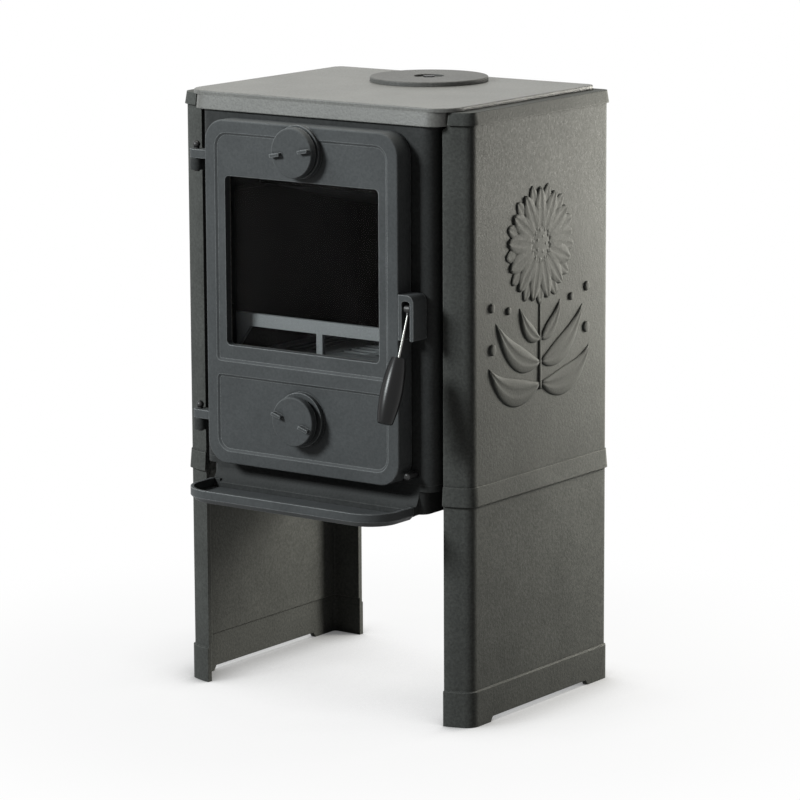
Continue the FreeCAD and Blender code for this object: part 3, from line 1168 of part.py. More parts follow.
def main():
    """Build every piece and write it."""
    os.makedirs("parts", exist_ok=True)
    right_leg, right_panel, right_wall, right_brick = leg_panel(), side_panel(), body_wall(), side_brick()
    pieces = {
        "left_leg_panel": mirrored(right_leg),
        "right_leg_panel": right_leg,
        "left_side_panel": mirrored(right_panel),
        "right_side_panel": right_panel,
        "panel_bolts": panel_bolts(),
        "base_plate": base_plate(),
        "front_frame": front_frame(),
        "left_body_wall": mirrored(right_wall),
        "right_body_wall": right_wall,
        "back_wall": back_wall(),
        "top_plate": top_plate(),
        "top_cover": top_cover(),
        "cover_clamp_bar": cover_clamp_bar(),
        "cover_bolt": cover_bolt(),
        "flue_collar": flue_collar(),
        "collar_bolts": collar_bolts(),
        "ash_shelf": ash_shelf(),
        "ash_shelf_bolts": ash_shelf_bolts(),
        "ash_pan": ash_pan(),
        "bottom_grate": bottom_grate(),
        "riddling_grate": riddling_grate(),
        "riddling_rod": riddling_rod(),
        "log_retainer": log_retainer(),
        "left_fire_brick": mirrored(right_brick),
        "right_fire_brick": right_brick,
        "back_fire_brick": back_brick(),
        "baffle_plate": baffle_plate(),
        "door": door(),
        "door_glass": door_glass(),
        "glass_gasket": glass_gasket(),
        "glass_clips": glass_clips(),
        "glass_screws": glass_screws(),
        "door_rope_seal": door_rope_seal(),
        "upper_air_spinner": air_spinner(UPPER_SPINNER_Z, UPPER_GAP, UPPER_FIN_TURN),
        "upper_spinner_spindle": spinner_spindle(UPPER_SPINNER_Z, UPPER_GAP, UPPER_TRAVEL_OUT),
        "lower_air_spinner": air_spinner(LOWER_SPINNER_Z, LOWER_GAP, LOWER_FIN_TURN),
        "lower_spinner_spindle": spinner_spindle(LOWER_SPINNER_Z, LOWER_GAP, LOWER_TRAVEL_OUT),
        "upper_hinge_bracket": hinge_bracket(UPPER_LUG_BOTTOM),
        "lower_hinge_bracket": hinge_bracket(LOWER_LUG_BOTTOM),
        "upper_hinge_pin": hinge_pin(UPPER_LUG_BOTTOM),
        "lower_hinge_pin": hinge_pin(LOWER_LUG_BOTTOM),
        "hinge_screws": hinge_screws(),
        "handle_hood": handle_hood(),
        "handle_pin": handle_pin(),
        "handle_lever": handle_lever(),
        "handle_rod": handle_rod(),
        "handle_grip": handle_grip(),
        "latch_keeper": latch_keeper(),
    }
    for name, shape in pieces.items():
        save(name, shape)


main()
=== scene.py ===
"""Looks of a free-standing cast iron stove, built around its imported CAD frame.

The castings, fittings and linings are CAD nodes that get their finishes here. The raised flower
spray on each side panel is modelled here, and so are the floor, the lights and the camera.
"""
import json
import logging
import math
from dataclasses import dataclass, field
from enum import Enum
from typing import Any, Callable, ClassVar, NamedTuple, Optional, Union

import bmesh
import bpy
from mathutils import Matrix, Vector


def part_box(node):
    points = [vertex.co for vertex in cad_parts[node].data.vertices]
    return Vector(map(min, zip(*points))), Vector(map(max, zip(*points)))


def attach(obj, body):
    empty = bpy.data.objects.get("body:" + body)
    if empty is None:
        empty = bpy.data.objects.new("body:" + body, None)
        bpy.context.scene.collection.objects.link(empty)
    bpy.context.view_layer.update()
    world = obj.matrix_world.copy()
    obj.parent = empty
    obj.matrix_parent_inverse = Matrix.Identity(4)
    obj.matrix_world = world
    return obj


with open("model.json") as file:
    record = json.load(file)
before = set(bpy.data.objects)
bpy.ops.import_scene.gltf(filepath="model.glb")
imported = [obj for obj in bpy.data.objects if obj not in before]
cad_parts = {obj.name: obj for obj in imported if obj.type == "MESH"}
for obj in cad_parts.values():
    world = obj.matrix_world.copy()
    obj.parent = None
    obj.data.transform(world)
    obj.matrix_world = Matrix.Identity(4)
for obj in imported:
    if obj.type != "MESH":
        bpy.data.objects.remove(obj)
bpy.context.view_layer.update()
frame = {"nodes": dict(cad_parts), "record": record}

LOG = logging.getLogger("stove")
MM = 0.001
FULL_TURN = 2.0 * math.pi
WHITE = "#ffffff"

# Most values of a noise texture lie between these two.
NOISE_LOW = 0.3
NOISE_HIGH = 0.7

# A Mix node numbers its colour sockets, because its other sockets have the same names.
MIX_FIRST = 6
MIX_SECOND = 7
MIX_COLOUR = 2

Pair = tuple[float, float]
Place = tuple[float, float, float]


class Body(Enum):
    """Rigid bodies that the pieces made here ride on."""

    STOVE = "stove"


class Slot(Enum):
    """Material slots of the record."""

    CASING_IRON = "casing_iron"
    BODY_IRON = "body_iron"
    TOP_IRON = "top_iron"
    DOOR_IRON = "door_iron"
    BARE_IRON = "bare_iron"
    BRIGHT_STEEL = "bright_steel"
    DARK_STEEL = "dark_steel"
    PAN_STEEL = "pan_steel"
    GRIP_BLACK = "grip_black"
    PANE_GLASS = "pane_glass"
    SEAL_ROPE = "seal_rope"
    FIRE_BRICK = "fire_brick"


class Side(Enum):
    """The two sides of the stove, as signs along X."""

    LEFT = -1
    RIGHT = 1


# Colours, nodes and curves


def linear(code: str) -> tuple[float, float, float, float]:
    """Turn an sRGB hex colour into linear light, by the standard's own curve.

    Args:
        code: Colour such as "#4c4f51".

    Returns:
        Linear red, green, blue and an alpha of 1.
    """
    channels = [int(code[i:i + 2], 16) / 255.0 for i in (1, 3, 5)]
    light = [c / 12.92 if c <= 0.04045 else ((c + 0.055) / 1.055) ** 2.4 for c in channels]
    return light[0], light[1], light[2], 1.0


def add_node(tree: bpy.types.NodeTree, kind: str, settings: Optional[dict[str, Any]] = None,
             inputs: Optional[dict[Any, Any]] = None) -> bpy.types.Node:
    """Add a node with its settings, its input values and its links.

    Args:
        tree: Node tree that takes the node.
        kind: Blender's name for the kind of node.
        settings: Properties of the node itself.
        inputs: Input name or number, with a value, or an output socket to link from.

    Returns:
        The new node.
    """
    node = tree.nodes.new(kind)
    for name, value in (settings or {}).items():
        setattr(node, name, value)
    for name, value in (inputs or {}).items():
        if isinstance(value, bpy.types.NodeSocket):
            tree.links.new(value, node.inputs[name])
        else:
            node.inputs[name].default_value = value
    return node


def per_metre(size_mm: float) -> float:
    """Texture scale whose features are about this many millimetres wide."""
    return 1.0 / (size_mm * MM)


def empty_tree(owner: Union[bpy.types.Material, bpy.types.World]) -> bpy.types.NodeTree:
    """Give a material or world a node tree with nothing in it.

    Args:
        owner: The material or world.

    Returns:
        Its node tree.
    """
    owner.use_nodes = True
    owner.node_tree.nodes.clear()
    return owner.node_tree


def blank_material(name: str) -> tuple[bpy.types.Material, bpy.types.NodeTree, bpy.types.Node]:
    """Make a material with an empty Principled shader.

    Args:
        name: Name of the real material.

    Returns:
        The material, its node tree and its shader node.
    """
    material = bpy.data.materials.new(name)
    tree = empty_tree(material)
    shader = add_node(tree, "ShaderNodeBsdfPrincipled")
    add_node(tree, "ShaderNodeOutputMaterial", inputs={"Surface": shader.outputs["BSDF"]})
    return material, tree, shader


def showing_rays(tree: bpy.types.NodeTree) -> bpy.types.NodeSocket:
    """Pick out the rays that show the white surroundings from those that light the stove.

    Args:
        tree: Node tree that takes the nodes.

    Returns:
        1 for camera, transmission and glossy rays, otherwise 0.
    """
    path = add_node(tree, "ShaderNodeLightPath")
    through = add_node(tree, "ShaderNodeMath", {"operation": "MAXIMUM"}, {
        0: path.outputs["Is Camera Ray"], 1: path.outputs["Is Transmission Ray"]})
    seen = add_node(tree, "ShaderNodeMath", {"operation": "MAXIMUM"}, {
        0: through.outputs["Value"], 1: path.outputs["Is Glossy Ray"]})
    return seen.outputs["Value"]


def curve_point(start: Pair, bend: Pair, end: Pair, t: float) -> Pair:
    """Point on a quadratic curve.

    Args:
        start: First point.
        bend: Control point.
        end: Last point.
        t: Share of the way, from 0 to 1.

    Returns:
        The point on the curve.
    """
    a, b, c = (1.0 - t) ** 2, 2.0 * t * (1.0 - t), t * t
    return a * start[0] + b * bend[0] + c * end[0], a * start[1] + b * bend[1] + c * end[1]


# Finishes


@dataclass(frozen=True)
class PaintedCastIron:
    """Sand-cast iron under matte heat-proof paint.

    The sand leaves a fine pitted grain that breaks the light up softly. The paint is pale on the edges,
    partly rubbed and partly a painted highlight, and painted shade darkens grooves and inner corners.
    Real grains are about 0.5 mm; they are drawn coarser here, or they would not show in the render.
    """

    name: str
    colour: str
    worn_and_highlight_colour: str
    grain_mm: float = 3.2
    grain_depth_mm: float = 0.30
    speckle: float = 0.16
    cloud_mm: float = 60.0
    edge_mm: float = 1.6
    wear_and_highlight: float = 0.55
    groove_mm: float = 4.0
    groove_shade: float = 0.15
    roughness: float = 0.52
    sheen_level: float = 0.2
    IOR: ClassVar[float] = 1.5
    CLOUDINESS: ClassVar[float] = 0.10
    GRAIN_BAND: ClassVar[Pair] = (0.35, 0.68)
    OPENNESS_BAND: ClassVar[Pair] = (0.40, 0.90)
    EDGE_BAND: ClassVar[Pair] = (0.995, 0.90)
    ROUGHNESS_BAND: ClassVar[Pair] = (-0.10, 0.12)
    PIT_STRENGTH: ClassVar[float] = 0.8

    def brightness(self, tree: bpy.types.NodeTree, place: bpy.types.NodeSocket,
                   grain: bpy.types.NodeSocket) -> bpy.types.NodeSocket:
        """Vary the paint by broad clouds, fine specks and painted shade in the hollows.

        Args:
            tree: Node tree of the finish.
            place: Point on the piece.
            grain: Height of the sand grain.

        Returns:
            Factor for the paint's colour.
        """
        clouds = add_node(tree, "ShaderNodeTexNoise", inputs={
            "Vector": place, "Scale": per_metre(self.cloud_mm), "Detail": 3.0, "Roughness": 0.5})
        tone = add_node(tree, "ShaderNodeMapRange", inputs={
            "Value": clouds.outputs["Fac"], "From Min": NOISE_LOW, "From Max": NOISE_HIGH,
            "To Min": 1.0 - self.CLOUDINESS, "To Max": 1.0 + self.CLOUDINESS})
        speck = add_node(tree, "ShaderNodeMapRange", inputs={
            "Value": grain, "From Min": self.GRAIN_BAND[0], "From Max": self.GRAIN_BAND[1],
            "To Min": 1.0 - self.speckle, "To Max": 1.0 + self.speckle})
        both = add_node(tree, "ShaderNodeMath", {"operation": "MULTIPLY"}, {
            0: tone.outputs["Result"], 1: speck.outputs["Result"]})
        # Painted shade: the colour darkens in grooves and inner corners, where the surface closes in.
        hollow = add_node(tree, "ShaderNodeAmbientOcclusion", {"samples": 4, "only_local": True}, {
            "Distance": self.groove_mm * MM})
        shade_factor = add_node(tree, "ShaderNodeMapRange", inputs={
            "Value": hollow.outputs["AO"], "From Min": self.OPENNESS_BAND[0],
            "From Max": self.OPENNESS_BAND[1], "To Min": self.groove_shade})
        level = add_node(tree, "ShaderNodeMath", {"operation": "MULTIPLY"}, {
            0: both.outputs["Value"], 1: shade_factor.outputs["Result"]})
        return level.outputs["Value"]

    def paint(self, tree: bpy.types.NodeTree, rounded: bpy.types.NodeSocket) -> bpy.types.NodeSocket:
        """Mix the paint with its pale edge colour, for wear and a painted highlight, where the surface turns
        sharply.

        Args:
            tree: Node tree of the finish.
            rounded: Direction of the surface with its edges rounded off.

        Returns:
            Colour of the paint.
        """
        flat = add_node(tree, "ShaderNodeNewGeometry").outputs["Normal"]
        turn = add_node(tree, "ShaderNodeVectorMath", {"operation": "DOT_PRODUCT"}, {0: rounded, 1: flat})
        # Wear and painted highlight: the paint turns pale where the surface bends sharply.
        edge_wear_and_highlight = add_node(tree, "ShaderNodeMapRange", inputs={
            "Value": turn.outputs["Value"], "From Min": self.EDGE_BAND[0],
            "From Max": self.EDGE_BAND[1], "To Max": self.wear_and_highlight})
        mixed = add_node(tree, "ShaderNodeMix", {"data_type": "RGBA"}, {
            "Factor": edge_wear_and_highlight.outputs["Result"], MIX_FIRST: linear(self.colour),
            MIX_SECOND: linear(self.worn_and_highlight_colour)})
        return mixed.outputs[MIX_COLOUR]

    def material(self) -> bpy.types.Material:
        """Build the finish.

        Returns:
            The material.
        """
        material, tree, shader = blank_material(self.name)
        place = add_node(tree, "ShaderNodeTexCoord").outputs["Object"]
        grain = add_node(tree, "ShaderNodeTexNoise", inputs={
            "Vector": place, "Scale": per_metre(self.grain_mm), "Detail": 4.0, "Roughness": 0.62})
        soft = add_node(tree, "ShaderNodeBevel", {"samples": 4}, {"Radius": self.edge_mm * MM})
        shade = add_node(tree, "ShaderNodeVectorMath", {"operation": "SCALE"}, {
            0: self.paint(tree, soft.outputs["Normal"]),
            "Scale": self.brightness(tree, place, grain.outputs["Fac"])})
        rough = add_node(tree, "ShaderNodeMapRange", inputs={
            "Value": grain.outputs["Fac"], "From Min": NOISE_LOW, "From Max": NOISE_HIGH,
            "To Min": self.roughness + self.ROUGHNESS_BAND[0],
            "To Max": self.roughness + self.ROUGHNESS_BAND[1]})
        pits = add_node(tree, "ShaderNodeBump", inputs={
            "Strength": self.PIT_STRENGTH, "Distance": self.grain_depth_mm * MM,
            "Height": grain.outputs["Fac"], "Normal": soft.outputs["Normal"]})
        tree.links.new(shade.outputs["Vector"], shader.inputs["Base Color"])
        tree.links.new(rough.outputs["Result"], shader.inputs["Roughness"])
        tree.links.new(pits.outputs["Normal"], shader.inputs["Normal"])
        shader.inputs["Specular IOR Level"].default_value = self.sheen_level
        shader.inputs["IOR"].default_value = self.IOR
        return material


@dataclass(frozen=True)
class BareMetal:
    """Metal with no paint, as turned, rolled, blackened, cast or sooted.

    Tool marks or scale make its tone and gloss uneven. A skin of oxide or soot takes most of the metal
    out of its reflections, so such a finish has a low metallic value. Real tool marks are about 0.2 mm
    wide and are drawn coarser here, so that they show in a close view.
    """

    name: str
    colour: str
    roughness: float
    metallic: float = 1.0
    mark_mm: float = 0.6
    depth_mm: float = 0.02
    TONE_BAND: ClassVar[Pair] = (0.82, 1.10)
    UNEVEN: ClassVar[float] = 0.08
    MARK_STRENGTH: ClassVar[float] = 0.4

    def material(self) -> bpy.types.Material:
        """Build the finish.

        Returns:
            The material.
        """
        material, tree, shader = blank_material(self.name)
        place = add_node(tree, "ShaderNodeTexCoord").outputs["Object"]
        marks = add_node(tree, "ShaderNodeTexNoise", inputs={
            "Vector": place, "Scale": per_metre(self.mark_mm), "Detail": 3.0})
        tone = add_node(tree, "ShaderNodeMapRange", inputs={
            "Value": marks.outputs["Fac"], "From Min": NOISE_LOW, "From Max": NOISE_HIGH,
            "To Min": self.TONE_BAND[0], "To Max": self.TONE_BAND[1]})
        shade = add_node(tree, "ShaderNodeVectorMath", {"operation": "SCALE"}, {
            0: linear(self.colour)[:3], "Scale": tone.outputs["Result"]})
        rough = add_node(tree, "ShaderNodeMapRange", inputs={
            "Value": marks.outputs["Fac"], "From Min": NOISE_LOW, "From Max": NOISE_HIGH,
            "To Min": self.roughness - self.UNEVEN, "To Max": self.roughness + self.UNEVEN})
        bump = add_node(tree, "ShaderNodeBump", inputs={
            "Strength": self.MARK_STRENGTH, "Distance": self.depth_mm * MM,
            "Height": marks.outputs["Fac"]})
        tree.links.new(shade.outputs["Vector"], shader.inputs["Base Color"])
        tree.links.new(rough.outputs["Result"], shader.inputs["Roughness"])
        tree.links.new(bump.outputs["Normal"], shader.inputs["Normal"])
        shader.inputs["Metallic"].default_value = self.metallic
        return material


@dataclass(frozen=True)
class BlackLacquer:
    """Turned grip under thick black lacquer: deep black with a soft long highlight and faint orange peel."""

    name: str = "black_lacquer"
    colour: str = "#060607"
    roughness: float = 0.3
    sheen_level: float = 0.25
    peel_mm: float = 3.0
    peel_depth_mm: float = 0.05
    peel_strength: float = 0.15
    unevenness: float = 0.1

    def material(self) -> bpy.types.Material:
        """Build the finish.

        Returns:
            The material.
        """
        material, tree, shader = blank_material(self.name)
        place = add_node(tree, "ShaderNodeTexCoord").outputs["Object"]
        peel = add_node(tree, "ShaderNodeTexNoise", inputs={
            "Vector": place, "Scale": per_metre(self.peel_mm), "Detail": 1.0})
        tone = add_node(tree, "ShaderNodeMapRange", inputs={
            "Value": peel.outputs["Fac"],
            "To Min": 1.0 - self.unevenness, "To Max": 1.0 + self.unevenness})
        shade = add_node(tree, "ShaderNodeVectorMath", {"operation": "SCALE"}, {
            0: linear(self.colour)[:3], "Scale": tone.outputs["Result"]})
        bump = add_node(tree, "ShaderNodeBump", inputs={
            "Strength": self.peel_strength, "Distance": self.peel_depth_mm * MM,
            "Height": peel.outputs["Fac"]})
        tree.links.new(shade.outputs["Vector"], shader.inputs["Base Color"])
        tree.links.new(bump.outputs["Normal"], shader.inputs["Normal"])
        shader.inputs["Roughness"].default_value = self.roughness
        shader.inputs["Specular IOR Level"].default_value = self.sheen_level
        return material


@dataclass(frozen=True)
class SootedGlass:
    """Heat-proof ceramic glass, rolled flat and clear.

    It mirrors the room sharply, and a thin cloudy film of soot lies on it.
    """

    name: str = "ceramic_glass"
    colour: str = "#0e0d0d"
    roughness: float = 0.06
    ior: float = 1.5
    film_mm: float = 45.0
    thin_film: float = 0.03
    thick_film: float = 0.08
    CLOUD_BAND: ClassVar[Pair] = (0.35, 0.75)

    def material(self) -> bpy.types.Material:
        """Build the finish.

        Returns:
            The material.
        """
        material, tree, shader = blank_material(self.name)
        place = add_node(tree, "ShaderNodeTexCoord").outputs["Object"]
        film = add_node(tree, "ShaderNodeTexNoise", inputs={
            "Vector": place, "Scale": per_metre(self.film_mm), "Detail": 4.0})
        haze = add_node(tree, "ShaderNodeMapRange", inputs={
            "Value": film.outputs["Fac"], "From Min": self.CLOUD_BAND[0], "From Max": self.CLOUD_BAND[1],
            "To Min": self.thin_film, "To Max": self.thick_film})
        tree.links.new(haze.outputs["Result"], shader.inputs["Alpha"])
        shader.inputs["Base Color"].default_value = linear(self.colour)
        shader.inputs["Roughness"].default_value = self.roughness
        shader.inputs["IOR"].default_value = self.ior
        return material


@dataclass(frozen=True)
class WovenRope:
    """Braided glass fibre: dull strands gone grey, with a slanting braid whose hollows are painted darker as
    shade between the strands.
    """

    name: str = "glass_fibre_rope"
    colour: str = "#6a665f"
    roughness: float = 0.9
    braid_mm: float = 9.475
    strand_depth_mm: float = 0.5
    strand_strength: float = 0.8
    hollow_shade_tone: float = 0.55
    crown_tone: float = 1.1
    WAVE_RATE: ClassVar[float] = 10.0

    def material(self) -> bpy.types.Material:
        """Build the finish.

        Returns:
            The material.
        """
        material, tree, shader = blank_material(self.name)
        place = add_node(tree, "ShaderNodeTexCoord").outputs["Object"]
        braid = add_node(tree, "ShaderNodeTexWave", {"bands_direction": "DIAGONAL"}, {
            "Vector": place, "Scale": per_metre(self.braid_mm) * FULL_TURN / self.WAVE_RATE,
            "Distortion": 0.6})
        # Painted shade: the braid's hollows are darker than its crowns.
        tone = add_node(tree, "ShaderNodeMapRange", inputs={
            "Value": braid.outputs["Fac"], "To Min": self.hollow_shade_tone, "To Max": self.crown_tone})
        shade = add_node(tree, "ShaderNodeVectorMath", {"operation": "SCALE"}, {
            0: linear(self.colour)[:3], "Scale": tone.outputs["Result"]})
        bump = add_node(tree, "ShaderNodeBump", inputs={
            "Strength": self.strand_strength, "Distance": self.strand_depth_mm * MM,
            "Height": braid.outputs["Fac"]})
        tree.links.new(shade.outputs["Vector"], shader.inputs["Base Color"])
        tree.links.new(bump.outputs["Normal"], shader.inputs["Normal"])
        shader.inputs["Roughness"].default_value = self.roughness
        return material


@dataclass(frozen=True)
class VermiculiteBoard:
    """Pressed vermiculite flakes, coloured near black: dead matte, with a flaky dark tone."""

    name: str = "vermiculite_board"
    colour: str = "#191715"
    smoke: str = "#0c0b0b"
    roughness: float = 0.95
    flake_mm: float = 4.0
    flake_depth_mm: float = 0.4
    flake_strength: float = 0.5
    middle_tone: float = 1.1
    edge_tone: float = 0.75
    smoke_mm: float = 70.0
    SMOKE_BAND: ClassVar[Pair] = (0.35, 0.65)

    def material(self) -> bpy.types.Material:
        """Build the finish.

        Returns:
            The material.
        """
        material, tree, shader = blank_material(self.name)
        place = add_node(tree, "ShaderNodeTexCoord").outputs["Object"]
        flakes = add_node(tree, "ShaderNodeTexVoronoi", inputs={
            "Vector": place, "Scale": per_metre(self.flake_mm), "Randomness": 1.0})
        smoke = add_node(tree, "ShaderNodeTexNoise", inputs={
            "Vector": place, "Scale": per_metre(self.smoke_mm), "Detail": 4.0})
        dirt = add_node(tree, "ShaderNodeMapRange", inputs={
            "Value": smoke.outputs["Fac"], "From Min": self.SMOKE_BAND[0],
            "From Max": self.SMOKE_BAND[1]})
        board = add_node(tree, "ShaderNodeMix", {"data_type": "RGBA"}, {
            "Factor": dirt.outputs["Result"], MIX_FIRST: linear(self.colour),
            MIX_SECOND: linear(self.smoke)})
        tone = add_node(tree, "ShaderNodeMapRange", inputs={
            "Value": flakes.outputs["Distance"], "To Min": self.middle_tone, "To Max": self.edge_tone})
        shade = add_node(tree, "ShaderNodeVectorMath", {"operation": "SCALE"}, {
            0: board.outputs[MIX_COLOUR], "Scale": tone.outputs["Result"]})
        bump = add_node(tree, "ShaderNodeBump", inputs={
            "Strength": self.flake_strength, "Distance": self.flake_depth_mm * MM,
            "Height": flakes.outputs["Distance"]})
        tree.links.new(shade.outputs["Vector"], shader.inputs["Base Color"])
        tree.links.new(bump.outputs["Normal"], shader.inputs["Normal"])
        shader.inputs["Roughness"].default_value = self.roughness
        return material


Finish = Union[PaintedCastIron, BareMetal, BlackLacquer, SootedGlass, WovenRope, VermiculiteBoard]

# Door, spinners and shelf: fine castings in a cool grey, pale along their ribs from wear and a painted
# highlight.
DOOR_PAINT = PaintedCastIron("cast_iron_door_paint", "#494b4c", "#a4a6a7", speckle=0.12, wear_and_highlight=0.8,
                             sheen_level=0.1)
# Leg and side panels: coarser sand in a warmer grey, without shine.
CASING_PAINT = PaintedCastIron("cast_iron_casing_paint", "#4a4b49", "#8a8a86", speckle=0.22, wear_and_highlight=0.3,
                               grain_depth_mm=0.5, roughness=0.62, sheen_level=0.05)
# Cast sprays: the panels' paint a little darker as painted shade of the deep relief, with painted shade in
# its hollows and no pale edge.
RELIEF_PAINT = PaintedCastIron("cast_iron_relief_paint", "#444543", "#8a8a86", wear_and_highlight=0.0, groove_shade=0.25,
                               roughness=0.62, sheen_level=0.05)
# Inner body between the panels, and its hinge brackets: the same paint made darker, as painted shade of the
# frame beside the proud door, almost without shine.
BODY_PAINT = PaintedCastIron("cast_iron_body_paint", "#383939", "#5e5f5e", sheen_level=0.05)
# Top plate: the same paint made paler, as painted light from above, speckled, with a low gloss that lights
# up at a flat angle.
TOP_PAINT = PaintedCastIron("cast_iron_top_paint", "#62625f", "#8a8a86", speckle=0.24, wear_and_highlight=0.0,
                            grain_depth_mm=0.4, roughness=0.48, sheen_level=0.5)
# Cover on the top plate: the same, darker and duller from heat.
COVER_PAINT = PaintedCastIron("cast_iron_cover_paint", "#50504e", "#807f7b", speckle=0.24,
                              grain_depth_mm=0.4, roughness=0.55, sheen_level=0.3)
# Grates and retainer: rough grey castings, as they leave the sand.
RAW_IRON = BareMetal("raw_cast_iron", "#7b7f80", 0.62, metallic=0.2, mark_mm=2.5, depth_mm=0.25)
# Handle's rod and pin, spindles and screws: bright, with faint tool marks.
BRIGHT_STEEL = BareMetal("turned_steel", "#868683", 0.32)
# Bolts, clips, hinge pins, lever and riddling rod: dark with a dull shine.
DARK_STEEL = BareMetal("blackened_steel", "#3a3a3a", 0.45)
# Baffle plate: soft black soot.
SOOTED_IRON = BareMetal("sooted_cast_iron", "#161514", 0.85, metallic=0.0, mark_mm=8.0, depth_mm=0.2)
# Ash pan: smooth dark sheet under mill scale.
PAN_STEEL = BareMetal("black_sheet_steel", "#2a2a2a", 0.5, metallic=0.2, mark_mm=6.0, depth_mm=0.05)

FINISHES: dict[Slot, Finish] = {
    Slot.CASING_IRON: CASING_PAINT,
    Slot.BODY_IRON: BODY_PAINT,
    Slot.TOP_IRON: TOP_PAINT,
    Slot.DOOR_IRON: DOOR_PAINT,
    Slot.BARE_IRON: RAW_IRON,
    Slot.BRIGHT_STEEL: BRIGHT_STEEL,
    Slot.DARK_STEEL: DARK_STEEL,
    Slot.PAN_STEEL: PAN_STEEL,
    Slot.GRIP_BLACK: BlackLacquer(),
    Slot.PANE_GLASS: SootedGlass(),
    Slot.SEAL_ROPE: WovenRope(),
    Slot.FIRE_BRICK: VermiculiteBoard(),
}

# Nodes whose finish isn't the one that the rest of their slot has.
NODE_FINISHES: dict[str, Finish] = {
    "top_cover": COVER_PAINT,
    "ash_shelf": DOOR_PAINT,
    "baffle_plate": SOOTED_IRON,
}


class FinishShop:
    """Makes each finish once and puts it on the CAD nodes."""

    def __init__(self) -> None:
        """Start with no finish made."""
        self.made: dict[str, bpy.types.Material] = {}

    def get(self, finish: Finish) -> bpy.types.Material:
        """Give the material of a finish.

        Args:
            finish: One of the finishes above.

        Returns:
            Its material, made at the first call.
        """
        if finish.name not in self.made:
            self.made[finish.name] = finish.material()
        return self.made[finish.name]

    def dress_nodes(self) -> dict[str, str]:
        """Put its own or its slot's finish on every CAD node.

        Returns:
            Name of each node, with the name of its finish.
        """
        dressed = {}
        for entry in frame["record"]["subparts"]:
            name = entry["node"]
            finish = NODE_FINISHES.get(name, FINISHES[Slot(entry["material_slot"])])
            for slot in frame["nodes"][name].material_slots:
                slot.material = self.get(finish)
            dressed[name] = finish.name
        return dressed


# Raised flower on the side panels


class LeafPlan(NamedTuple):
    """Leaf on each side of the stalk, with u as a share of the half width and v in millimetres."""

    root_v: float
    bend: Pair
    tip: Pair
    half: float


class BudPlan(NamedTuple):
    """Bud on each side of the stalk, with u as a share of the half width and v in millimetres."""

    u: float
    v: float
    radius: float


class PetalRing(NamedTuple):
    """Ring of petals: its height as a share of the relief, its turn in petals and its reach as a share."""

    lift: float
    turn: float
    reach: float


class SeedRing(NamedTuple):
    """Ring of seeds: its radius as a share of the eye's, and how many there are."""

    share: float
    count: int


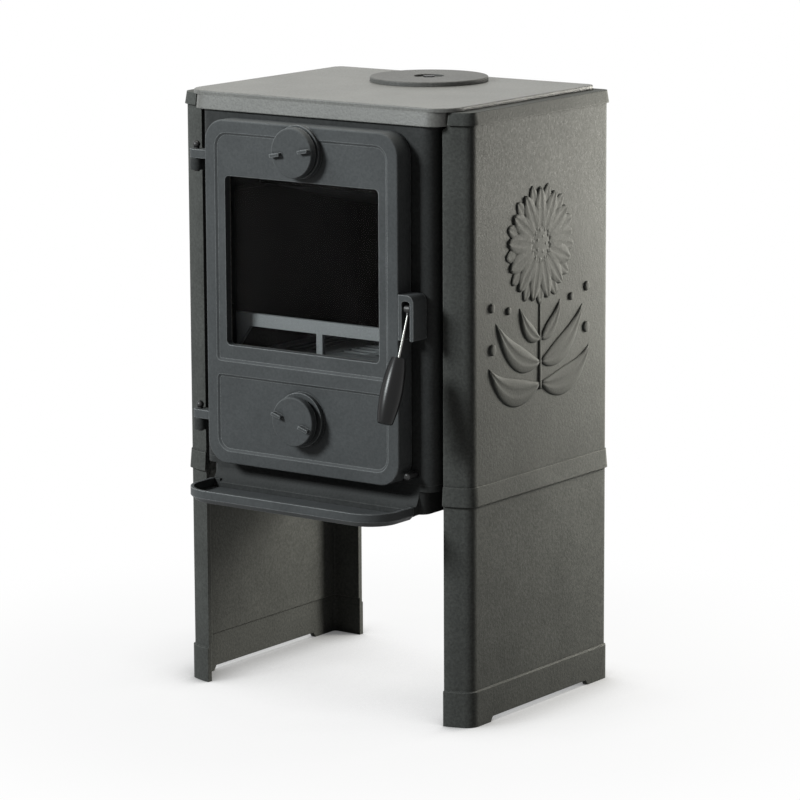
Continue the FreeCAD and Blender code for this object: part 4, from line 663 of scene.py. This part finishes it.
@dataclass
class FlowerSpray:
    """Raised daisy with broad leaves and buds, cast on one side panel.

    Sizes are millimetres on the panel's face, with u towards the back and v up from the stalk's foot.
    """

    side: Side
    height: float = 250.0
    half_width: float = 108.0
    above_middle: float = 12.0
    band_out: float = 3.0
    relief: float = 2.85
    sunk: float = 0.6
    stem: float = 3.4
    stem_bend: float = 60.0
    stem_overlap: float = 8.0
    head_radius: float = 74.0
    eye_radius: float = 23.0
    seed_radius: float = 2.7
    least_half: float = 0.25
    tip_half: float = 0.3
    petals: int = 13
    stations: int = 20
    ribs: int = 13
    origin: Vector = field(init=False)
    EDGE_POWER: ClassVar[float] = 0.36
    NEARBY: ClassVar[float] = 0.01
    GROOVE_SHARPNESS: ClassVar[float] = 4.0
    GROOVE_DEPTH: ClassVar[float] = 0.45
    LEAF_LEAN: ClassVar[float] = 0.85
    STALK_TAPER: ClassVar[float] = 0.45
    STALK_LIFT: ClassVar[float] = 0.8
    PETAL_ROOT: ClassVar[float] = 0.7
    PETAL_MIDDLE: ClassVar[float] = 0.6
    PETAL_HALF: ClassVar[float] = 0.36
    PETAL_BLUNT: ClassVar[float] = 0.6
    EYE_LIFT: ClassVar[float] = 0.9
    SEED_LIFT: ClassVar[float] = 1.24
    PETAL_RINGS: ClassVar[tuple[PetalRing, ...]] = (PetalRing(0.62, 0.5, 1.0), PetalRing(0.92, 0.0, 0.94))
    SEED_RINGS: ClassVar[tuple[SeedRing, ...]] = (SeedRing(0.42, 5), SeedRing(0.78, 11))
    LEAVES: ClassVar[tuple[LeafPlan, ...]] = (
        LeafPlan(8.0, (0.62, -14.0), (1.0, 40.0), 17.0),
        LeafPlan(34.0, (0.50, 30.0), (0.86, 92.0), 15.0),
        LeafPlan(62.0, (0.26, 66.0), (0.40, 104.0), 10.0))
    BUDS: ClassVar[tuple[BudPlan, ...]] = (
        BudPlan(0.93, 62.0, 7.0), BudPlan(0.94, 112.0, 6.0), BudPlan(0.62, 104.0, 5.0))

    def __post_init__(self) -> None:
        """Find the spray's foot on the panel's face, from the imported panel's box."""
        low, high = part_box("right_side_panel")
        foot = self.above_middle - self.height / 2.0
        self.origin = Vector((high[0] - self.band_out * MM, (low[1] + high[1]) / 2.0,
                              (low[2] + high[2]) / 2.0 + foot * MM))

    def place(self, u: float, v: float, out: float) -> Vector:
        """Point on the panel's face.

        Args:
            u: Distance towards the back from the spray's middle.
            v: Height over the spray's foot.
            out: Height over the panel's face.

        Returns:
            The point in metres.
        """
        point = self.origin + Vector((out, u, v)) * MM
        return Vector((self.side.value * point.x, point.y, point.z))

    def ridge(self, mesh: bmesh.types.BMesh, path: Callable[[float], Pair],
              width: Callable[[float], float], lift: float = 1.0, crease: float = 0.0) -> None:
        """Add one closed ridge that follows a path on the face.

        Args:
            mesh: Mesh that takes it.
            path: Point (u, v) for a share of the way from 0 to 1.
            width: Half width for a share of the way.
            lift: Height as a share of the full relief.
            crease: Depth of a groove along the middle, as a share of the height.
        """
        tops, bottoms = [], []
        for i in range(self.stations + 1):
            t = i / self.stations
            here, ahead, back = path(t), path(min(1.0, t + self.NEARBY)), path(max(0.0, t - self.NEARBY))
            run = Vector((ahead[0] - back[0], ahead[1] - back[1]))
            across = Vector((-run.y, run.x)).normalized()
            half = max(width(t), self.least_half)
            top_row, bottom_row = [], []
            for j in range(self.ribs):
                s = -math.cos(math.pi * j / (self.ribs - 1))
                swell = max(0.0, 1.0 - s * s) ** self.EDGE_POWER
                groove = crease * max(0.0, 1.0 - self.GROOVE_SHARPNESS * abs(s))
                rise = self.relief * lift * min(1.0, half / self.stem) * (swell - groove)
                u, v = here[0] + across.x * half * s, here[1] + across.y * half * s
                top_row.append(mesh.verts.new(self.place(u, v, rise)))
                bottom_row.append(mesh.verts.new(self.place(u, v, -self.sunk)))
            tops.append(top_row)
            bottoms.append(bottom_row)
        for i in range(self.stations):
            for j in range(self.ribs - 1):
                mesh.faces.new((tops[i][j], tops[i][j + 1], tops[i + 1][j + 1], tops[i + 1][j]))
                mesh.faces.new((bottoms[i][j], bottoms[i + 1][j], bottoms[i + 1][j + 1], bottoms[i][j + 1]))
            for j in (0, self.ribs - 1):
                mesh.faces.new((tops[i][j], tops[i + 1][j], bottoms[i + 1][j], bottoms[i][j]))
        for i in (0, self.stations):
            for j in range(self.ribs - 1):
                mesh.faces.new((tops[i][j], bottoms[i][j], bottoms[i][j + 1], tops[i][j + 1]))

    def leaf(self, mesh: bmesh.types.BMesh, start: Pair, bend: Pair, end: Pair, half: float,
             lift: float = 1.0, blunt: float = 1.0) -> None:
        """Add a leaf or petal with a grooved mid-rib, along a curve of three points.

        Args:
            mesh: Mesh that takes it.
            start: Root of the leaf.
            bend: Point that pulls its middle line.
            end: Tip of the leaf.
            half: Half width at its widest.
            lift: Height as a share of the full relief.
            blunt: Power of its outline, where less than 1 gives rounder ends.
        """
        def width(t: float) -> float:
            """Half width of the leaf for a share of the way."""
            return half * max(0.0, math.sin(math.pi * t ** self.LEAF_LEAN)) ** blunt + self.tip_half

        self.ridge(mesh, lambda t: curve_point(start, bend, end, t), width, lift, self.GROOVE_DEPTH)

    def stalk(self, mesh: bmesh.types.BMesh) -> None:
        """Add the tapering stalk, from the spray's foot into the daisy's head.

        Args:
            mesh: Mesh that takes it.
        """
        top = self.height - 2.0 * self.head_radius + self.stem_overlap
        self.ridge(mesh, lambda t: curve_point((0.0, 0.0), (0.0, self.stem_bend), (0.0, top), t),
                   lambda t: self.stem * (1.0 - self.STALK_TAPER * t), self.STALK_LIFT)

    def bud(self, mesh: bmesh.types.BMesh, u: float, v: float, radius: float, lift: float = 1.0) -> None:
        """Add a round bud.

        Args:
            mesh: Mesh that takes it.
            u: Its middle, towards the back.
            v: Its middle, upwards.
            radius: Its radius.
            lift: Height as a share of the full relief.
        """
        self.ridge(mesh, lambda t: (u, v + radius * (2.0 * t - 1.0)),
                   lambda t: radius * math.sqrt(max(0.0, 1.0 - (2.0 * t - 1.0) ** 2)), lift)

    def head(self, mesh: bmesh.types.BMesh) -> None:
        """Add the daisy's head: two rings of petals round a seeded eye.

        Args:
            mesh: Mesh that takes it.
        """
        middle = self.height - self.head_radius
        step = FULL_TURN / self.petals
        for ring in self.PETAL_RINGS:
            radii = (self.PETAL_ROOT * self.eye_radius, self.PETAL_MIDDLE * self.head_radius,
                     ring.reach * self.head_radius)
            for i in range(self.petals):
                aim = (i + ring.turn) * step + math.pi / 2.0
                root, bend, tip = [(r * math.cos(aim), middle + r * math.sin(aim)) for r in radii]
                self.leaf(mesh, root, bend, tip, self.PETAL_HALF * step * self.head_radius, ring.lift,
                          self.PETAL_BLUNT)
        self.bud(mesh, 0.0, middle, self.eye_radius, self.EYE_LIFT)
        for seeds in self.SEED_RINGS:
            for i in range(seeds.count):
                aim = FULL_TURN * i / seeds.count
                self.bud(mesh, seeds.share * self.eye_radius * math.cos(aim),
                         middle + seeds.share * self.eye_radius * math.sin(aim), self.seed_radius,
                         self.SEED_LIFT)

    def build(self) -> bpy.types.Object:
        """Model the whole spray.

        Returns:
            The new mesh object.
        """
        mesh = bmesh.new()
        self.stalk(mesh)
        for sign in (-1, 1):
            wide = sign * self.half_width
            for leaf in self.LEAVES:
                self.leaf(mesh, (0.0, leaf.root_v), (wide * leaf.bend[0], leaf.bend[1]),
                          (wide * leaf.tip[0], leaf.tip[1]), leaf.half)
            for bud in self.BUDS:
                self.bud(mesh, wide * bud.u, bud.v, bud.radius)
        self.head(mesh)
        bmesh.ops.recalc_face_normals(mesh, faces=mesh.faces[:])
        data = bpy.data.meshes.new(f"{self.side.name.lower()}_flower_spray")
        mesh.to_mesh(data)
        mesh.free()
        for face in data.polygons:
            face.use_smooth = True
        piece = bpy.data.objects.new(data.name, data)
        bpy.context.scene.collection.objects.link(piece)
        return piece

    def dress(self, piece: bpy.types.Object, shop: FinishShop) -> None:
        """Paint the spray and put it on the stove's body.

        Args:
            piece: The spray's mesh object.
            shop: Where the finishes are made.
        """
        piece.data.materials.append(shop.get(RELIEF_PAINT))
        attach(piece, Body.STOVE.value)


# Studio


@dataclass(frozen=True)
class Lamp:
    """Soft square lamp, in metres and watts, hidden from the camera."""

    name: str
    place: Place
    size: float
    power: float
    tint: str
    aim: Place = (0.0, 0.0, 0.4)

    def build(self) -> None:
        """Hang the lamp and turn it towards its aim."""
        data = bpy.data.lights.new(self.name, "AREA")
        data.size = self.size
        data.color = linear(self.tint)[:3]
        data.energy = self.power
        lamp = bpy.data.objects.new(self.name, data)
        lamp.location = self.place
        lamp.rotation_euler = (Vector(self.aim) - Vector(self.place)).to_track_quat("-Z", "Y").to_euler()
        lamp.visible_camera = False
        bpy.context.scene.collection.objects.link(lamp)


@dataclass(frozen=True)
class StudioFloor:
    """Matte white paper floor that fades into the backdrop, in metres.

    It shows white, dimmed by painted shadow where the stove stands over it and once more close round the
    feet, and it keeps the stove's own soft shadow.
    """

    name: str = "pale_studio_floor"
    radius: float = 14.0
    corners: int = 64
    grey: str = "#808080"
    fade_from: float = 0.3
    fade_to: float = 0.8
    near_white: float = 0.92
    shade_reach: float = 0.3
    shade_dark: float = 0.45
    contact_reach: float = 0.07
    contact_dark: float = 0.25
    SHADE_BAND: ClassVar[Pair] = (0.25, 0.82)
    CONTACT_BAND: ClassVar[Pair] = (0.35, 0.92)

    def whiteness(self, tree: bpy.types.NodeTree) -> bpy.types.NodeSocket:
        """Work out how white the floor shows: its fade times its painted soft and contact shades.

        Args:
            tree: Node tree of the finish.

        Returns:
            Share of white, from 0 to 1.
        """
        place = add_node(tree, "ShaderNodeTexCoord").outputs["Object"]
        reach = add_node(tree, "ShaderNodeVectorMath", {"operation": "LENGTH"}, {0: place})
        fade = add_node(tree, "ShaderNodeMapRange", {"interpolation_type": "SMOOTHSTEP"}, {
            "Value": reach.outputs["Value"], "From Min": self.fade_from, "From Max": self.fade_to})
        pale = add_node(tree, "ShaderNodeMapRange", inputs={
            "Value": fade.outputs["Result"], "To Min": self.near_white})
        # Painted shadow: the floor darkens where the stove closes in over it and close to its feet.
        sky = add_node(tree, "ShaderNodeAmbientOcclusion", {"samples": 8}, {"Distance": self.shade_reach})
        shade = add_node(tree, "ShaderNodeMapRange", inputs={
            "Value": sky.outputs["AO"], "From Min": self.SHADE_BAND[0],
            "From Max": self.SHADE_BAND[1], "To Min": self.shade_dark})
        touch = add_node(tree, "ShaderNodeAmbientOcclusion", {"samples": 8}, {
            "Distance": self.contact_reach})
        contact = add_node(tree, "ShaderNodeMapRange", inputs={
            "Value": touch.outputs["AO"], "From Min": self.CONTACT_BAND[0],
            "From Max": self.CONTACT_BAND[1], "To Min": self.contact_dark})
        near = add_node(tree, "ShaderNodeMath", {"operation": "MULTIPLY"}, {
            0: pale.outputs["Result"], 1: shade.outputs["Result"]})
        light = add_node(tree, "ShaderNodeMath", {"operation": "MULTIPLY"}, {
            0: near.outputs["Value"], 1: contact.outputs["Result"]})
        return light.outputs["Value"]

    def material(self) -> bpy.types.Material:
        """Build the finish: white to the rays that show it, grey paper to the rest.

        Returns:
            The material.
        """
        material = bpy.data.materials.new(self.name)
        tree = empty_tree(material)
        share = add_node(tree, "ShaderNodeMath", {"operation": "MULTIPLY"}, {
            0: self.whiteness(tree), 1: showing_rays(tree)})
        paper = add_node(tree, "ShaderNodeBsdfDiffuse", inputs={"Color": linear(self.grey)})
        white = add_node(tree, "ShaderNodeEmission", inputs={"Color": linear(WHITE), "Strength": 1.0})
        mixed = add_node(tree, "ShaderNodeMixShader", inputs={
            0: share.outputs["Value"], 1: paper.outputs["BSDF"], 2: white.outputs["Emission"]})
        add_node(tree, "ShaderNodeOutputMaterial", inputs={"Surface": mixed.outputs["Shader"]})
        return material

    def build(self) -> None:
        """Lay the floor."""
        mesh = bmesh.new()
        bmesh.ops.create_circle(mesh, cap_ends=True, segments=self.corners, radius=self.radius)
        data = bpy.data.meshes.new("floor")
        mesh.to_mesh(data)
        mesh.free()
        data.materials.append(self.material())
        floor = bpy.data.objects.new("floor", data)
        bpy.context.scene.collection.objects.link(floor)


@dataclass
class Studio:
    """Pale floor, white surroundings, soft lamps and the camera at the photograph's angle."""

    azimuth: float = 35.9
    elevation: float = 10.83
    roll: float = -0.27
    distance: float = 4.9624
    lens_mm: float = 179.74
    sensor_mm: float = 36.0
    farthest: float = 100.0
    aim: Place = (-0.0140, 0.0562, 0.3472)
    soft_light: float = 0.05
    LAMPS: ClassVar[tuple[Lamp, ...]] = (
        Lamp("key", (-1.26, -2.48, 1.95), 0.7, 103.0, "#f8feff"),
        Lamp("side", (0.52, 0.68, 0.61), 0.26, 14.5, "#fffcf2", (0.2, 0.05, 0.55)),
        Lamp("low", (0.42, 0.75, 0.35), 0.3, 4.4, "#fffcf2", (-0.2, 0.0, 0.15)),
        Lamp("top", (-0.1, 0.4, 2.5), 1.2, 36.0, "#fffef6"))

    def camera(self) -> None:
        """Place the camera."""
        az, el, roll = (math.radians(angle) for angle in (self.azimuth, self.elevation, self.roll))
        back = Vector((math.sin(az) * math.cos(el), -math.cos(az) * math.cos(el), math.sin(el)))
        right = Vector((math.cos(az), math.sin(az), 0.0))
        up = back.cross(right)
        across = right * math.cos(roll) + up * math.sin(roll)
        upward = up * math.cos(roll) - right * math.sin(roll)
        data = bpy.data.cameras.new("camera")
        data.lens = self.lens_mm
        data.sensor_width = self.sensor_mm
        data.clip_end = self.farthest
        camera = bpy.data.objects.new("camera", data)
        place = Vector(self.aim) + back * self.distance
        camera.matrix_world = Matrix((
            (across.x, upward.x, back.x, place.x),
            (across.y, upward.y, back.y, place.y),
            (across.z, upward.z, back.z, place.z),
            (0.0, 0.0, 0.0, 1.0)))
        bpy.context.scene.collection.objects.link(camera)
        bpy.context.scene.camera = camera

    def backdrop(self) -> None:
        """Set the white surroundings and the plain soft light that they give."""
        world = bpy.data.worlds.new("studio")
        bpy.context.scene.world = world
        tree = empty_tree(world)
        soft = add_node(tree, "ShaderNodeBackground", inputs={
            "Color": linear(WHITE), "Strength": self.soft_light})
        white = add_node(tree, "ShaderNodeBackground", inputs={"Color": linear(WHITE), "Strength": 1.0})
        mixed = add_node(tree, "ShaderNodeMixShader", inputs={
            0: showing_rays(tree), 1: soft.outputs["Background"], 2: white.outputs["Background"]})
        add_node(tree, "ShaderNodeOutputWorld", inputs={"Surface": mixed.outputs["Shader"]})

    def build(self) -> None:
        """Set up everything around the stove."""
        StudioFloor().build()
        self.backdrop()
        for lamp in self.LAMPS:
            lamp.build()
        self.camera()
        bpy.context.scene.view_settings.view_transform = "Standard"


def main() -> None:
    """Dress the stove, raise the sprays, set up the studio and report each piece."""
    logging.basicConfig(level=logging.INFO)
    shop = FinishShop()
    for node, finish in shop.dress_nodes().items():
        LOG.info("dressed %s as %s", node, finish)
    for side in Side:
        spray = FlowerSpray(side)
        piece = spray.build()
        spray.dress(piece, shop)
        LOG.info("made %s", piece.name)
    Studio().build()


if __name__ == "__main__":
    main()
